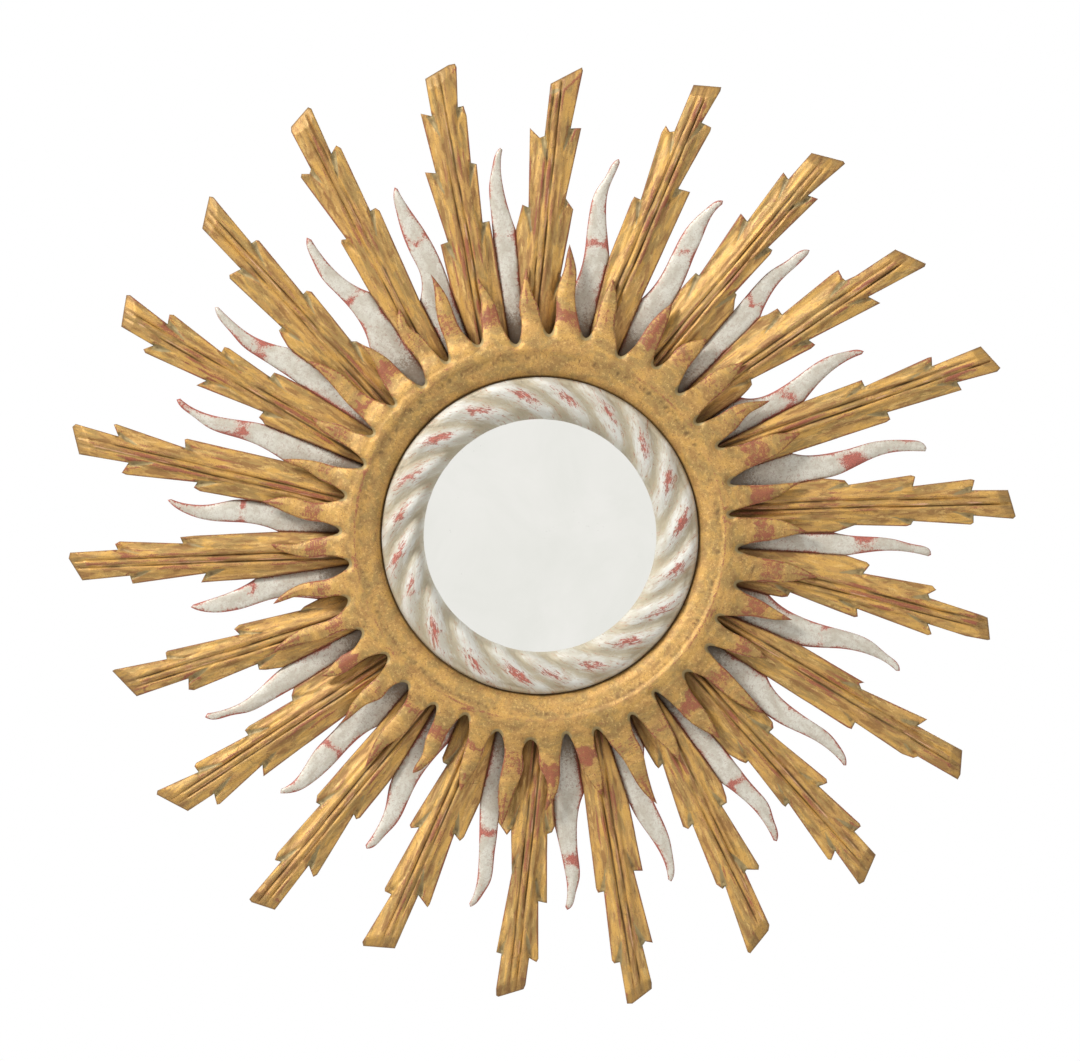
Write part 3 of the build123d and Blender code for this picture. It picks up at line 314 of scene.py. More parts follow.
class Carving:
    """A dense front over an outline, with walls down to a plain back. A hole is a circle round the middle."""

    # How far inside the rim the rows of points that follow it lie, and how far down the walls' rows do
    INSETS = (0.45, 1.0, 1.8)
    WALL_STEPS = (0.5, 1.4, 3.0, 5.5, 9.0)

    def __init__(self, solid, outline, grid, hole=None):
        self.rim = resample(outline, SPACING)
        self.rim_in = inward(self.rim)
        self.hole = hole
        self.measure = Rim(self.rim)
        tree = BVHTree.FromBMesh(solid)
        loops = [self.rim]
        for inset in self.INSETS:
            ring = self.rim + self.rim_in * inset
            loops.append(ring[self.measure.away(ring) > inset * 0.92])
        grid_levels = front_levels(tree, grid)
        grid = grid[~np.isnan(grid_levels)]
        grid = grid[self.measure.away(grid) > self.INSETS[-1] + 0.55]
        self.rim_count = len(self.rim)
        self.hole_count = 0 if hole is None else len(hole)
        self.points = np.vstack([self.rim] + ([] if hole is None else [hole]) + loops[1:] + [grid])
        probe = self.points.copy()
        probe[:self.rim_count] += self.rim_in * 0.2
        if hole is not None:
            start = self.rim_count
            probe[start:start + self.hole_count] *= 1.002
        levels = front_levels(tree, probe)
        kept = ~np.isnan(levels)
        kept[:self.rim_count + self.hole_count] = True
        self.points = self.points[kept]
        levels = levels[kept]
        levels[np.isnan(levels)] = np.nanmedian(levels)
        loops = [list(range(self.rim_count))]
        if hole is not None:
            loops.append(list(range(self.rim_count, self.rim_count + self.hole_count)))
        self.faces = self.outside_hole(triangulate(self.points, loops), self.points)
        self.pairs = neighbours(self.faces)
        self.away = self.measure.away(self.points)
        self.away[:self.rim_count] = 0
        self.levels = levels

    def outside_hole(self, faces, points):
        """The faces that don't lie over the hole."""
        if self.hole is None:
            return faces
        middle = points[faces].mean(axis=1)
        return faces[np.hypot(*middle.T) > np.hypot(*self.hole[0]) * 0.9999]

    def build(self, name, back_levels, masks, materials, seed):
        """The closed mesh. masks holds the front's values, which the walls repeat from their rim."""
        count = len(self.points)
        corners = [np.column_stack([self.points[:, 0], self.levels, self.points[:, 1]])]
        values = {mask: [np.asarray(value, dtype=float)] for mask, value in masks.items()}
        faces = [tuple(face) for face in self.faces]
        paint = [0] * len(faces)
        run = np.concatenate([[0], np.cumsum(np.hypot(*np.diff(self.rim, axis=0).T))])
        sides = [(list(range(self.rim_count)), self.rim_in, run)]
        if self.hole is not None:
            hole = list(range(self.rim_count, self.rim_count + self.hole_count))
            outwards = self.hole / np.hypot(*self.hole.T)[:, None]
            turn = np.arange(self.hole_count) * np.hypot(*(self.hole[1] - self.hole[0]))
            sides.append((hole[::-1], outwards[::-1], turn))
        total = count
        lasts = []
        for indices, inwards, reach in sides:
            above = indices
            top = self.levels[indices]
            bottom = back_levels[indices]
            depth = top - bottom
            steps = [step for step in self.WALL_STEPS if step < depth.min() - 0.5]
            for step in [*steps, None]:
                level = bottom if step is None else top - step
                # Out of the neighbours' reach a wall is a little hollow. Between them it closes the seam.
                rough = 0.2 * (1 + noise(reach / 7, level / 6, seed)) * min(1, (step or 2) / 3)
                free = climb(np.hypot(*self.points[indices].T), SEAM_REACH, SEAM_REACH + 15)
                shift = rough * free - SEAM_FILL * (1 - free) * (step is not None)
                place = self.points[indices] + inwards * shift[:, None]
                corners.append(np.column_stack([place[:, 0], level, place[:, 1]]))
                for mask, parts in values.items():
                    rim_values = parts[0][indices]
                    if mask == "grain":
                        rim_values = np.column_stack([reach, level * 3, rim_values[:, 2] + 7])
                    elif mask == "wear":
                        rim_values = rim_values * 0.3
                    elif mask == "shade":
                        rim_values = unit(rim_values + 0.5)
                    parts.append(rim_values)
                below = list(range(total, total + len(indices)))
                total += len(indices)
                for i in range(len(indices)):
                    following = (i + 1) % len(indices)
                    faces.append((above[i], below[i], below[following], above[following]))
                paint += [0] * len(indices)
                above = below
            lasts.append(above)
        corners = np.vstack(corners)
        back_loops = [np.array(last) for last in lasts]
        back_points = np.vstack([corners[loop][:, [0, 2]] for loop in back_loops])
        numbers = np.concatenate(back_loops)
        starts = np.cumsum([0] + [len(loop) for loop in back_loops])
        loops = [list(range(starts[i], starts[i + 1])) for i in range(len(back_loops))]
        back = self.outside_hole(triangulate(back_points, loops), back_points)
        faces += [tuple(numbers[face[::-1]]) for face in back]
        paint += [len(materials) - 1] * len(back)
        values = {mask: np.concatenate(parts) for mask, parts in values.items()}
        return make_object(name, corners, faces, values, materials, paint)


# Shader building


class Paint:
    """A material whose nodes are added by short calls."""

    def __init__(self, name):
        self.material = bpy.data.materials.new(name)
        self.material.use_nodes = True
        self.tree = self.material.node_tree
        self.shader = self.tree.nodes["Principled BSDF"]
        self.output = self.tree.nodes["Material Output"]

    def put(self, target, value):
        """Links a socket, or writes a plain value, into an input."""
        if isinstance(value, bpy.types.NodeSocket):
            self.tree.links.new(value, target)
        else:
            target.default_value = value

    def node(self, kind, inputs=(), **settings):
        node = self.tree.nodes.new("ShaderNode" + kind)
        for key, value in settings.items():
            setattr(node, key, value)
        for key, value in dict(inputs).items():
            self.put(node.inputs[key], value)
        return node

    def mask(self, name):
        return self.node("Attribute", attribute_name=name).outputs["Fac"]

    def vector(self, name):
        return self.node("Attribute", attribute_name=name).outputs["Vector"]

    def place(self):
        return self.node("TexCoord").outputs["Object"]

    def stretched(self, vector, scale, shift=(0, 0, 0)):
        return self.node("Mapping", {"Vector": vector, "Scale": scale, "Location": shift}).outputs["Vector"]

    def noise(self, vector, scale, detail=4.0, roughness=0.55, distortion=0.0):
        """Noise with this many lumps to a unit: one number, or one for each axis."""
        if not isinstance(scale, float):
            vector = self.stretched(vector, scale)
            scale = 1.0
        inputs = {"Vector": vector, "Scale": scale, "Detail": detail, "Roughness": roughness,
                  "Distortion": distortion}
        return self.node("TexNoise", inputs).outputs["Fac"]

    def cells(self, vector, scale, feature="F1"):
        inputs = {"Vector": vector, "Scale": scale}
        return self.node("TexVoronoi", inputs, feature=feature).outputs["Distance"]

    def math(self, operation, first, second):
        return self.node("Math", {0: first, 1: second}, operation=operation).outputs[0]

    def step(self, value, low, high, out_low=0.0, out_high=1.0):
        """A smooth climb from out_low to out_high while the value goes from low to high."""
        inputs = {"Value": value, "From Min": low, "From Max": high, "To Min": out_low, "To Max": out_high}
        return self.node("MapRange", inputs, interpolation_type="SMOOTHSTEP").outputs[0]

    def mix(self, share, first, second):
        """A colour on its way from the first to the second. The numbers are the node's colour sockets."""
        return self.node("Mix", {0: share, 6: first, 7: second}, data_type="RGBA").outputs[2]

    def shaken(self, value, texture, amount):
        """The value, moved up and down by a texture, at most by half of the amount."""
        shift = self.math("MULTIPLY", self.math("SUBTRACT", texture, 0.5), amount)
        return self.math("ADD", value, shift)

    def over(self, tone, colour, share, strength=1.0):
        """A tone with a colour laid over it where share is 1, never thicker than strength."""
        return self.mix(self.math("MULTIPLY", share, strength), tone, colour)

    def layers(self, tone, *layers):
        """A tone with colours over it, each where its value climbs from low to high, at most this strong."""
        for colour, value, low, high, strength in layers:
            tone = self.over(tone, colour, self.step(value, low, high), strength)
        return tone

    def bump(self, height, strength, distance):
        return self.node("Bump", {"Height": height, "Strength": strength, "Distance": distance}).outputs[0]

    def finish(self, **inputs):
        """Writes or links the shader's own inputs, and gives the material."""
        names = {"colour": "Base Color", "roughness": "Roughness", "metallic": "Metallic", "normal": "Normal",
                 "specular": "Specular IOR Level"}
        for key, value in inputs.items():
            self.put(self.shader.inputs[names[key]], value)
        return self.material


GOLD_LIGHT = srgb(228, 190, 118)
GOLD_YELLOW = srgb(212, 166, 86)
GOLD = srgb(194, 151, 86)
GOLD_OLIVE = srgb(168, 136, 80)
GOLD_BROWN = srgb(142, 101, 58)
SHADE_BROWN = srgb(108, 74, 44)
PINK_WEAR_AND_HIGHLIGHT = srgb(232, 184, 150)
BOLE = srgb(162, 82, 62)
BOLE_DARK = srgb(118, 62, 48)
OLIVE_SHADE = srgb(148, 134, 96)
DIRT_AND_SHADE = srgb(78, 56, 34)
SILVER = srgb(215, 211, 198)
SILVER_GREY = srgb(194, 187, 171)
SILVER_HAZE = srgb(180, 164, 148)
SILVER_DIRT_AND_SHADE = srgb(122, 104, 86)
WHITE_GILT = srgb(214, 212, 203)
WHITE_DULL = srgb(196, 190, 174)
BEIGE_SHADE_AND_DIRT = srgb(176, 163, 134)
FRESH_RED = srgb(196, 92, 74)
DEEP_RED = srgb(132, 62, 52)
RED_HAZE = srgb(206, 164, 146)
SCRATCH_BROWN = srgb(150, 112, 92)
# Grain lines to a metre along x, y and z
WOOD_GRAIN = (90, 7, 7)


def gold_leaf(name, streak, cloud, speckle, patchiness):
    """Worn gold leaf over red bole: patches and flakes of several golds, red edges, recesses painted dark as
    dirt and as shade, brown painted shade on cut ends, edges and walls, olive painted shade in the scoops,
    and a pale line on the rib painted as wear and as a highlight.

    streak and cloud say how fine its flakes and patches are, speckle and patchiness how strong its specks and
    patches.
    """
    paint = Paint(name)
    grain = paint.vector("grain")
    streaks = paint.noise(grain, streak, 6, 0.62, 0.3)
    clouds = paint.noise(grain, cloud, 4, 0.6, 0.6)
    finer_cloud = [1.7 * side for side in cloud]
    drift = paint.noise(paint.stretched(grain, finer_cloud, (31, 17, 5)), 1.0, 3, 0.55, 0.4)
    fine = paint.noise(grain, 1.6, 5, 0.7)
    tone = paint.mix(paint.step(clouds, 0.4, 0.6), GOLD_OLIVE, GOLD)
    flakes = paint.shaken(streaks, fine, 0.4)
    spots = paint.noise(grain, 0.9, 3, 0.6)
    # The leaf has rubbed through to the bole on what stands proud, along edges and in patches.
    rubbed = paint.math("ADD", paint.mask("wear"), paint.mask("bole"))
    rubbed = paint.shaken(paint.shaken(rubbed, streaks, 1.5), fine, 1.5)
    red = paint.mix(paint.step(fine, 0.4, 0.65), BOLE, BOLE_DARK)
    tone = paint.layers(
        tone, (GOLD_YELLOW, drift, 0.51, 0.6, 0.8 * patchiness),
        (GOLD_BROWN, drift, 0.46, 0.38, 0.75 * patchiness),
        (GOLD_LIGHT, flakes, 0.56, 0.63, 0.55), (GOLD_BROWN, flakes, 0.42, 0.35, 0.45),
        (BOLE_DARK, spots, 0.58, 0.66, speckle), (red, rubbed, 0.58, 0.9, 0.85),
        # Olive painted shade in the scoops and on the notches' lips.
        (OLIVE_SHADE, paint.shaken(paint.mask("olive_shade"), fine, 0.8), 0.25, 0.6, 0.8),
        (SHADE_BROWN, paint.shaken(paint.mask("shade"), streaks, 0.7), 0.1, 0.9, 0.75),
        # Recesses are painted dark, as dirt and as shade.
        (DIRT_AND_SHADE, paint.shaken(paint.mask("hollow_dirt_and_shade"), fine, 0.7), 0.3, 0.95, 0.8),
        # A pale pink line along the rib and the fingers' edges, painted as wear and as a highlight.
        (PINK_WEAR_AND_HIGHLIGHT, paint.shaken(paint.mask("crest_wear_and_highlight"), streaks, 1.2), 0.4, 0.75, 0.85))
    cracks = paint.cells(paint.stretched(grain, (0.16, 0.1, 1)), 1.0, "DISTANCE_TO_EDGE")
    cracked = paint.math("MULTIPLY", paint.step(cracks, 0.022, 0.006),
                         paint.step(paint.noise(grain, 0.05, 3), 0.55, 0.64))
    tone = paint.over(tone, DIRT_AND_SHADE, cracked, 0.45)
    height = paint.shaken(paint.math("MULTIPLY", streaks, 0.8), fine, 0.4)
    height = paint.math("SUBTRACT", height, paint.math("MULTIPLY", cracked, 0.3))
    return paint.finish(colour=tone, metallic=paint.step(rubbed, 0.58, 0.9, 0.3, 0.0), specular=0.4,
                        roughness=paint.step(fine, 0.3, 0.7, 0.44, 0.62),
                        normal=paint.bump(height, 0.4, 0.0009))


def silver_leaf():
    """Smooth silver gilt, off-white, with dark red along the edges, red bands, and a mottled root painted
    darker as dirt and as the shade under the gold ring.
    """
    paint = Paint("silver_leaf_over_bole")
    grain = paint.vector("grain")
    clouds = paint.noise(grain, (0.1, 0.05, 1), 4, 0.6, 0.4)
    fine = paint.noise(grain, 1.1, 6, 0.7, 0.2)
    mottle = paint.noise(grain, 0.42, 6, 0.75, 0.8)
    tone = paint.mix(paint.step(clouds, 0.35, 0.62), SILVER_GREY, SILVER)
    rubbed = paint.math("ADD", paint.mask("bole"), paint.mask("wear"))
    rubbed = paint.shaken(paint.shaken(rubbed, mottle, 2.2), fine, 1.3)
    red = paint.mix(paint.step(fine, 0.42, 0.6), FRESH_RED, DEEP_RED)
    # The root and recesses are painted darker, as dirt and as shade.
    dirt_and_shade = paint.shaken(paint.shaken(paint.mask("hollow_dirt_and_shade"), mottle, 1.7), fine, 0.8)
    tone = paint.layers(tone, (SILVER_HAZE, paint.shaken(mottle, fine, 0.5), 0.47, 0.62, 0.6),
                        (RED_HAZE, rubbed, 0.3, 0.62, 0.55), (red, rubbed, 0.52, 0.82, 0.85),
                        (SILVER_DIRT_AND_SHADE, dirt_and_shade, 0.32, 0.9, 0.75))
    specks = paint.math("MULTIPLY", paint.step(paint.cells(grain, 0.3), 0.11, 0.05),
                        paint.step(paint.noise(grain, 0.1, 2), 0.5, 0.6))
    tone = paint.over(tone, DEEP_RED, specks, 0.8)
    height = paint.shaken(paint.math("MULTIPLY", mottle, 0.8), fine, 0.4)
    return paint.finish(colour=tone, metallic=paint.step(rubbed, 0.6, 1.0, 0.15, 0.0), specular=0.4,
                        roughness=paint.step(fine, 0.3, 0.7, 0.38, 0.55),
                        normal=paint.bump(height, 0.35, 0.0009))


def white_gilding():
    """The rope's warm white gilding, streaked, with grooves and sides painted beige as shade and dirt, and
    red where it has rubbed through.
    """
    paint = Paint("white_gilding_over_bole")
    grain = paint.vector("grain")
    streaks = paint.noise(grain, (0.45, 0.1, 1), 6, 0.68, 1.0)
    fine = paint.noise(grain, (1.3, 0.4, 1), 5, 0.72, 0.7)
    clouds = paint.noise(grain, 0.07, 3, 0.5, 0.3)
    tone = paint.mix(paint.step(clouds, 0.35, 0.62), WHITE_DULL, WHITE_GILT)
    # Grooves and sides are painted beige, as shade and dirt.
    sunk = paint.shaken(paint.mask("hollow_dirt_and_shade"), streaks, 1.3)
    rubbed = paint.shaken(paint.shaken(paint.mask("bole"), streaks, 3.2), fine, 2.4)
    red = paint.mix(paint.step(fine, 0.42, 0.6), FRESH_RED, DEEP_RED)
    tone = paint.layers(tone, (BEIGE_SHADE_AND_DIRT, sunk, 0.2, 0.75, 0.85), (RED_HAZE, rubbed, 0.22, 0.5, 0.6),
                        (red, rubbed, 0.44, 0.66, 0.88), (BEIGE_SHADE_AND_DIRT, streaks, 0.55, 0.68, 0.4))
    lines = paint.math("MULTIPLY", paint.step(fine, 0.57, 0.66), paint.step(streaks, 0.46, 0.56))
    tone = paint.over(tone, SCRATCH_BROWN, lines, 0.6)
    height = paint.shaken(streaks, fine, 0.6)
    return paint.finish(colour=tone, roughness=paint.step(fine, 0.3, 0.7, 0.34, 0.52), specular=0.45,
                        metallic=0.12, normal=paint.bump(height, 0.7, 0.001))


def raw_wood(name, light, dark):
    """Bare aged wood with grain lines, pores and stains."""
    paint = Paint(name)
    place = paint.place()
    rings = paint.noise(place, WOOD_GRAIN, 6, 0.65, 1.2)
    pores = paint.noise(place, [10 * side for side in WOOD_GRAIN], 3, 0.6)
    stains = paint.noise(place, 9.0, 4, 0.6, 0.5)
    tone = paint.mix(paint.step(rings, 0.35, 0.68), light, dark)
    tone = paint.layers(tone, (srgb(92, 68, 46), stains, 0.5, 0.7, 0.45),
                        (srgb(70, 50, 34), pores, 0.6, 0.72, 0.4))
    height = paint.math("ADD", rings, paint.math("MULTIPLY", pores, 0.5))
    return paint.finish(colour=tone, metallic=0.0, specular=0.3, normal=paint.bump(height, 0.5, 0.0008),
                        roughness=paint.step(rings, 0.3, 0.7, 0.62, 0.8))


def backboard_paint():
    """Thin hardboard, smooth and brown, with flecks and rubbed patches."""
    paint = Paint("backboard_hardboard")
    place = paint.place()
    flecks = paint.noise(place, 900.0, 3, 0.7)
    clouds = paint.noise(place, 14.0, 5, 0.6, 0.6)
    tone = paint.mix(paint.step(clouds, 0.35, 0.65), srgb(140, 104, 70), srgb(116, 84, 56))
    tone = paint.over(tone, srgb(84, 58, 38), paint.step(flecks, 0.56, 0.7), 0.5)
    return paint.finish(colour=tone, roughness=paint.step(clouds, 0.3, 0.7, 0.55, 0.75), metallic=0.0,
                        normal=paint.bump(flecks, 0.25, 0.0004))


def card():
    """Grey packing card with a felted surface."""
    paint = Paint("grey_card")
    place = paint.place()
    fibres = paint.noise(place, (600, 600, 220), 4, 0.7, 1.0)
    tone = paint.mix(fibres, srgb(150, 146, 136), srgb(124, 118, 108))
    return paint.finish(colour=tone, roughness=0.85, metallic=0.0, normal=paint.bump(fibres, 0.3, 0.0003))


def mirror_glass():
    """A silvered glass, bright and slightly warm, with faint haze and a few specks of age."""
    paint = Paint("silvered_glass")
    place = paint.place()
    haze = paint.noise(place, 11.0, 4, 0.6, 0.5)
    specks = paint.step(paint.cells(place, 240.0), 0.09, 0.05)
    rare = paint.step(paint.noise(place, 30.0, 2), 0.58, 0.66)
    tone = paint.mix(paint.step(haze, 0.3, 0.7), srgb(237, 236, 231), srgb(231, 231, 225))
    tone = paint.over(tone, srgb(150, 148, 140), paint.math("MULTIPLY", specks, rare), 0.35)
    return paint.finish(colour=tone, roughness=paint.step(haze, 0.3, 0.7, 0.03, 0.07), metallic=1.0)


def worn_metal(name, clean, dull, rough):
    """Metal that has dulled with age, with fine scratches and a darker bloom."""
    paint = Paint(name)
    place = paint.place()
    bloom = paint.noise(place, 180.0, 5, 0.65, 0.4)
    scratches = paint.noise(place, (1500, 300, 300), 3, 0.6)
    tone = paint.mix(paint.step(bloom, 0.4, 0.68), clean, dull)
    return paint.finish(colour=tone, roughness=paint.step(bloom, 0.3, 0.7, rough, rough + 0.25), metallic=0.9,
                        normal=paint.bump(scratches, 0.2, 0.0002))


# The gold rays

GOLD_EDGE = 1.1
# The two grooves beside the rib
RIB_GROOVE = 3.0
RIB_GROOVE_DEPTH = 1.7
# Where and how the solid's facets fall beside the ridge, and how much steeper the carved ones do
FACET_START = 5.0
FACET_FALL = tan(radians(13))
EXTRA_FALL = 0.1
FOLDS = 5
LAYER_LENGTH = 110.0
LAYER_STEP = 1.0
END_LENGTH = 24.0
# A gold ray's root, painted darker as dirt and as the shade under the gold ring, fades between these
# distances from the glass's middle
GOLD_ROOT = (178, 206)
# The rib's top edge is painted pale on this side, as wear and as a highlight that lies the same way on every
# ray
WORN_AND_HIGHLIT_SIDE = np.array([0.7, -0.7])


def row_grid(low, high, rows, spacing):
    """Points along straight rows, each row's points set off from the last one's."""
    points = []
    for number, across in enumerate(rows):
        along = np.arange(low + spacing * 0.5 * (number % 2), high, spacing)
        points.append(np.column_stack([np.full(len(along), across), along]))
    return np.vstack(points)


def gold_rows(reach):
    """Where the rows lie beside the ridge: close together over the ridge and its grooves, then even."""
    half = [0.65, 1.3, 1.85, 2.4, 3.3]
    half += list(np.arange(4.4, reach, SPACING * 0.88))
    return [-across for across in reversed(half)] + [0.0] + half


def roof_levels(across, along, levels):
    """The level that a gold ray's plain roof would have, without its scoops and its cut end."""
    on_rib = np.abs(across) < 0.9
    foot = np.median(levels[on_rib] - along[on_rib] * RISE)
    return foot + along * RISE - np.maximum(np.abs(across) - FACET_START, 0) * FACET_FALL


def fold(across, along, line, lean, middle, length, width):
    """A soft fold of height 1 along a line that leans a little, and fades out at both ends."""
    beside = (across - line - lean * (along - middle)) / width
    return np.exp(-beside ** 2) * np.exp(-((along - middle) / length) ** 4)


def notches_of(local):
    """The notches in a gold ray's edges: the outline's corners that point into the ray."""
    arriving = local - np.roll(local, 1, axis=0)
    leaving = np.roll(local, -1, axis=0) - local
    turn = arriving[:, 0] * leaving[:, 1] - arriving[:, 1] * leaving[:, 0]
    turn /= np.hypot(*arriving.T) * np.hypot(*leaving.T)
    return local[(turn < -0.4) & (local[:, 1] > local[:, 1].min() + 60)]


def layer_steps(across, along, notches):
    """How far the surface steps down beyond a line from each notch, as where leaves overlap."""
    drop = np.zeros(len(across))
    for notch_across, notch_along in notches:
        share = unit((notch_along - along) / LAYER_LENGTH)
        line = notch_across * (1 - 0.4 * share)
        beyond = np.sign(notch_across) * (across - line)
        fade = climb(share, 0, 0.05) * (1 - climb(share, 0.45, 1))
        drop += LAYER_STEP * climb(beyond, -0.7, 1.5) * np.exp(-np.maximum(beyond, 0) / 9) * fade
    return drop


def carve_gold(across, along, levels, away, pairs, seed):
    """The gold's levels with a grooved rib, steeper facets, folds, tool marks and rounded edges."""
    rng = np.random.default_rng(seed)
    levels = blurred(levels, pairs, 1)
    inside = climb(away, 0.8, 4)
    waver = 0.5 * noise(along / 32, along * 0, seed + 5)
    beside = np.abs(across - waver)
    levels = levels - EXTRA_FALL * np.maximum(beside - 4, 0)
    depth = RIB_GROOVE_DEPTH * (0.75 + 0.35 * noise(along / 26, np.sign(across), seed + 6))
    levels -= depth * bell(beside, RIB_GROOVE, 0.95) * inside
    for side in (-1, 1):
        line = side * rng.uniform(5.4, 7.2)
        lean = side * rng.uniform(-0.015, 0.03)
        middle = rng.uniform(-20, 50)
        length = rng.uniform(45, 90)
        height = rng.uniform(0.5, 1.0)
        levels += height * fold(across, along, line, lean, middle, length, 1.3) * inside
        levels -= 0.8 * height * fold(across, along, line + side * 2.4, lean, middle, length, 1.2) * inside
    for _ in range(FOLDS):
        line = rng.choice([-1, 1]) * rng.uniform(8, 17)
        height = rng.choice([-1, 1]) * rng.uniform(0.3, 0.7)
        lean = rng.uniform(-0.07, 0.07)
        middle = rng.uniform(-60, 90)
        length = rng.uniform(20, 60)
        width = rng.uniform(1.4, 2.8)
        levels += height * fold(across, along, line, lean, middle, length, width) * inside
    marks = 0.1 * noise(across / 2.3, along / 17, seed + 1) + 0.06 * noise(across / 1.4, along / 6, seed + 2)
    marks += 0.3 * noise(across / 7, along / 30, seed + 3)
    levels += marks * climb(away, 0, 2)
    uneven = 0.6 + 0.5 * noise(along / 11, across / 9, seed + 4)
    return levels - rounded_edge(away, GOLD_EDGE) - 0.5 * uneven * np.exp(-away / 1.6)


def relief_masks(levels, pairs, away):
    """How far each point stands proud of what is round it, and how deep it lies, both from 0 to about 1."""
    near = blurred(levels, pairs, 3)
    far = blurred(levels, pairs, 24)
    proud = unit((levels - near) / 0.16)
    hollow_dirt_and_shade = unit((far - levels) / 1.6)
    edge = np.exp(-away / 0.9)
    return unit(0.75 * proud + 0.45 * edge), hollow_dirt_and_shade * climb(away, 1, 4)


def make_gold_ray(number, materials):
    """A gold ray, carved along its ridge, and the name of its solid."""
    node = f"gold_ray_{number:02d}"
    solid = welded(node)
    outline = back_outline(solid)
    middle, outwards = ridge_of(solid)
    sideways = np.array([outwards[1], -outwards[0]])
    axes = np.column_stack([sideways, outwards])
    local = (outline - middle) @ axes
    reach = np.abs(local[:, 0]).max() + 1
    rows = row_grid(local[:, 1].min(), local[:, 1].max(), gold_rows(reach), SPACING)
    carving = Carving(solid, outline, middle + rows @ axes.T)
    solid.free()
    away = carving.away
    across, along = ((carving.points - middle) @ axes).T
    seed = 100 * number
    under_roof = roof_levels(across, along, carving.levels) - carving.levels
    end_start = along.max() - END_LENGTH
    cut_off = climb(along, end_start, end_start + 6)
    end = climb(under_roof, 0.4, 1.6) * cut_off
    scoop = climb(under_roof, 0.5, 2.2) * (1 - cut_off)
    carving.levels = carve_gold(across, along, carving.levels, away, carving.pairs, seed)
    carving.levels -= layer_steps(across, along, notches_of(local)) * climb(away, 0.5, 3)
    wear, hollow_dirt_and_shade = relief_masks(carving.levels, carving.pairs, away)
    reach = np.hypot(*carving.points.T)
    root = 1 - climb(reach, *GOLD_ROOT)
    groove = bell(np.abs(across), RIB_GROOVE, 0.9)
    groove *= unit(0.45 + 0.6 * noise(along / 16, np.sign(across), seed + 7))
    # A pale line along one side of the rib, painted as wear and as a highlight.
    crest_side = np.sign(sideways @ WORN_AND_HIGHLIT_SIDE)
    crest_wear_and_highlight = bell(across * crest_side, 1.5, 0.6) * (1 - end)
    crest_wear_and_highlight *= unit(0.5 + 0.9 * noise(along / 15, along * 0, seed + 10))
    patches = unit(noise(across / 8, along / 26, seed + 9) - 0.1)
    contour = np.exp(-away / 0.8)
    masks = {"grain": np.column_stack([across, along, np.full(len(across), 13.7 * number)]),
             "wear": 0.8 * wear * (1 - 0.5 * end),
             # The rib's grooves, the relief's recesses and the root under the gold ring are painted dark, as
             # dirt and as shade.
             "hollow_dirt_and_shade": unit(0.7 * hollow_dirt_and_shade + 0.7 * groove * (1 - end) + 0.6 * root),
             # The scoops are painted olive, as shade.
             "olive_shade": unit(scoop * (0.65 + 0.5 * noise(across / 5, along / 9, seed + 8))),
             "bole": 0.45 * patches + 0.12 * end,
             "shade": unit(0.4 * end + 0.6 * contour),
             "crest_wear_and_highlight": crest_wear_and_highlight}
    back = np.full(len(carving.points), HUB_FRONT)
    return carving.build(f"carved_{node}", back, masks, materials, number), node


# The silver rays

SILVER_CROWN = 2.4
SILVER_CROWN_WIDTH = 8.0
# Likewise for a silver ray's mottling, and for its dirt and the painted shade under the gold ring
SILVER_ROOT = (218, 246)
SILVER_DEEP_ROOT = (172, 205)
# Where the red shows across each silver ray, as distances from the middle of the glass and half widths
SILVER_BANDS = {
    1: (258, 3), 2: (255, 4), 3: (273, 4), 4: (270, 4), 5: (245, 6), 6: (277, 11), 7: (280, 10), 8: (257, 3),
    10: (270, 4), 12: (280, 6), 13: (260, 4), 15: (254, 4), 17: (250, 5), 18: (258, 3), 19: (275, 9),
    20: (286, 6), 21: (260, 4), 22: (275, 4)}


def hex_grid(outline, spacing):
    """Points evenly apart in a honeycomb over an outline's box."""
    low = outline.min(axis=0)
    high = outline.max(axis=0)
    rows = np.arange(low[0], high[0], spacing * 0.866)
    return row_grid(low[1], high[1], rows, spacing)


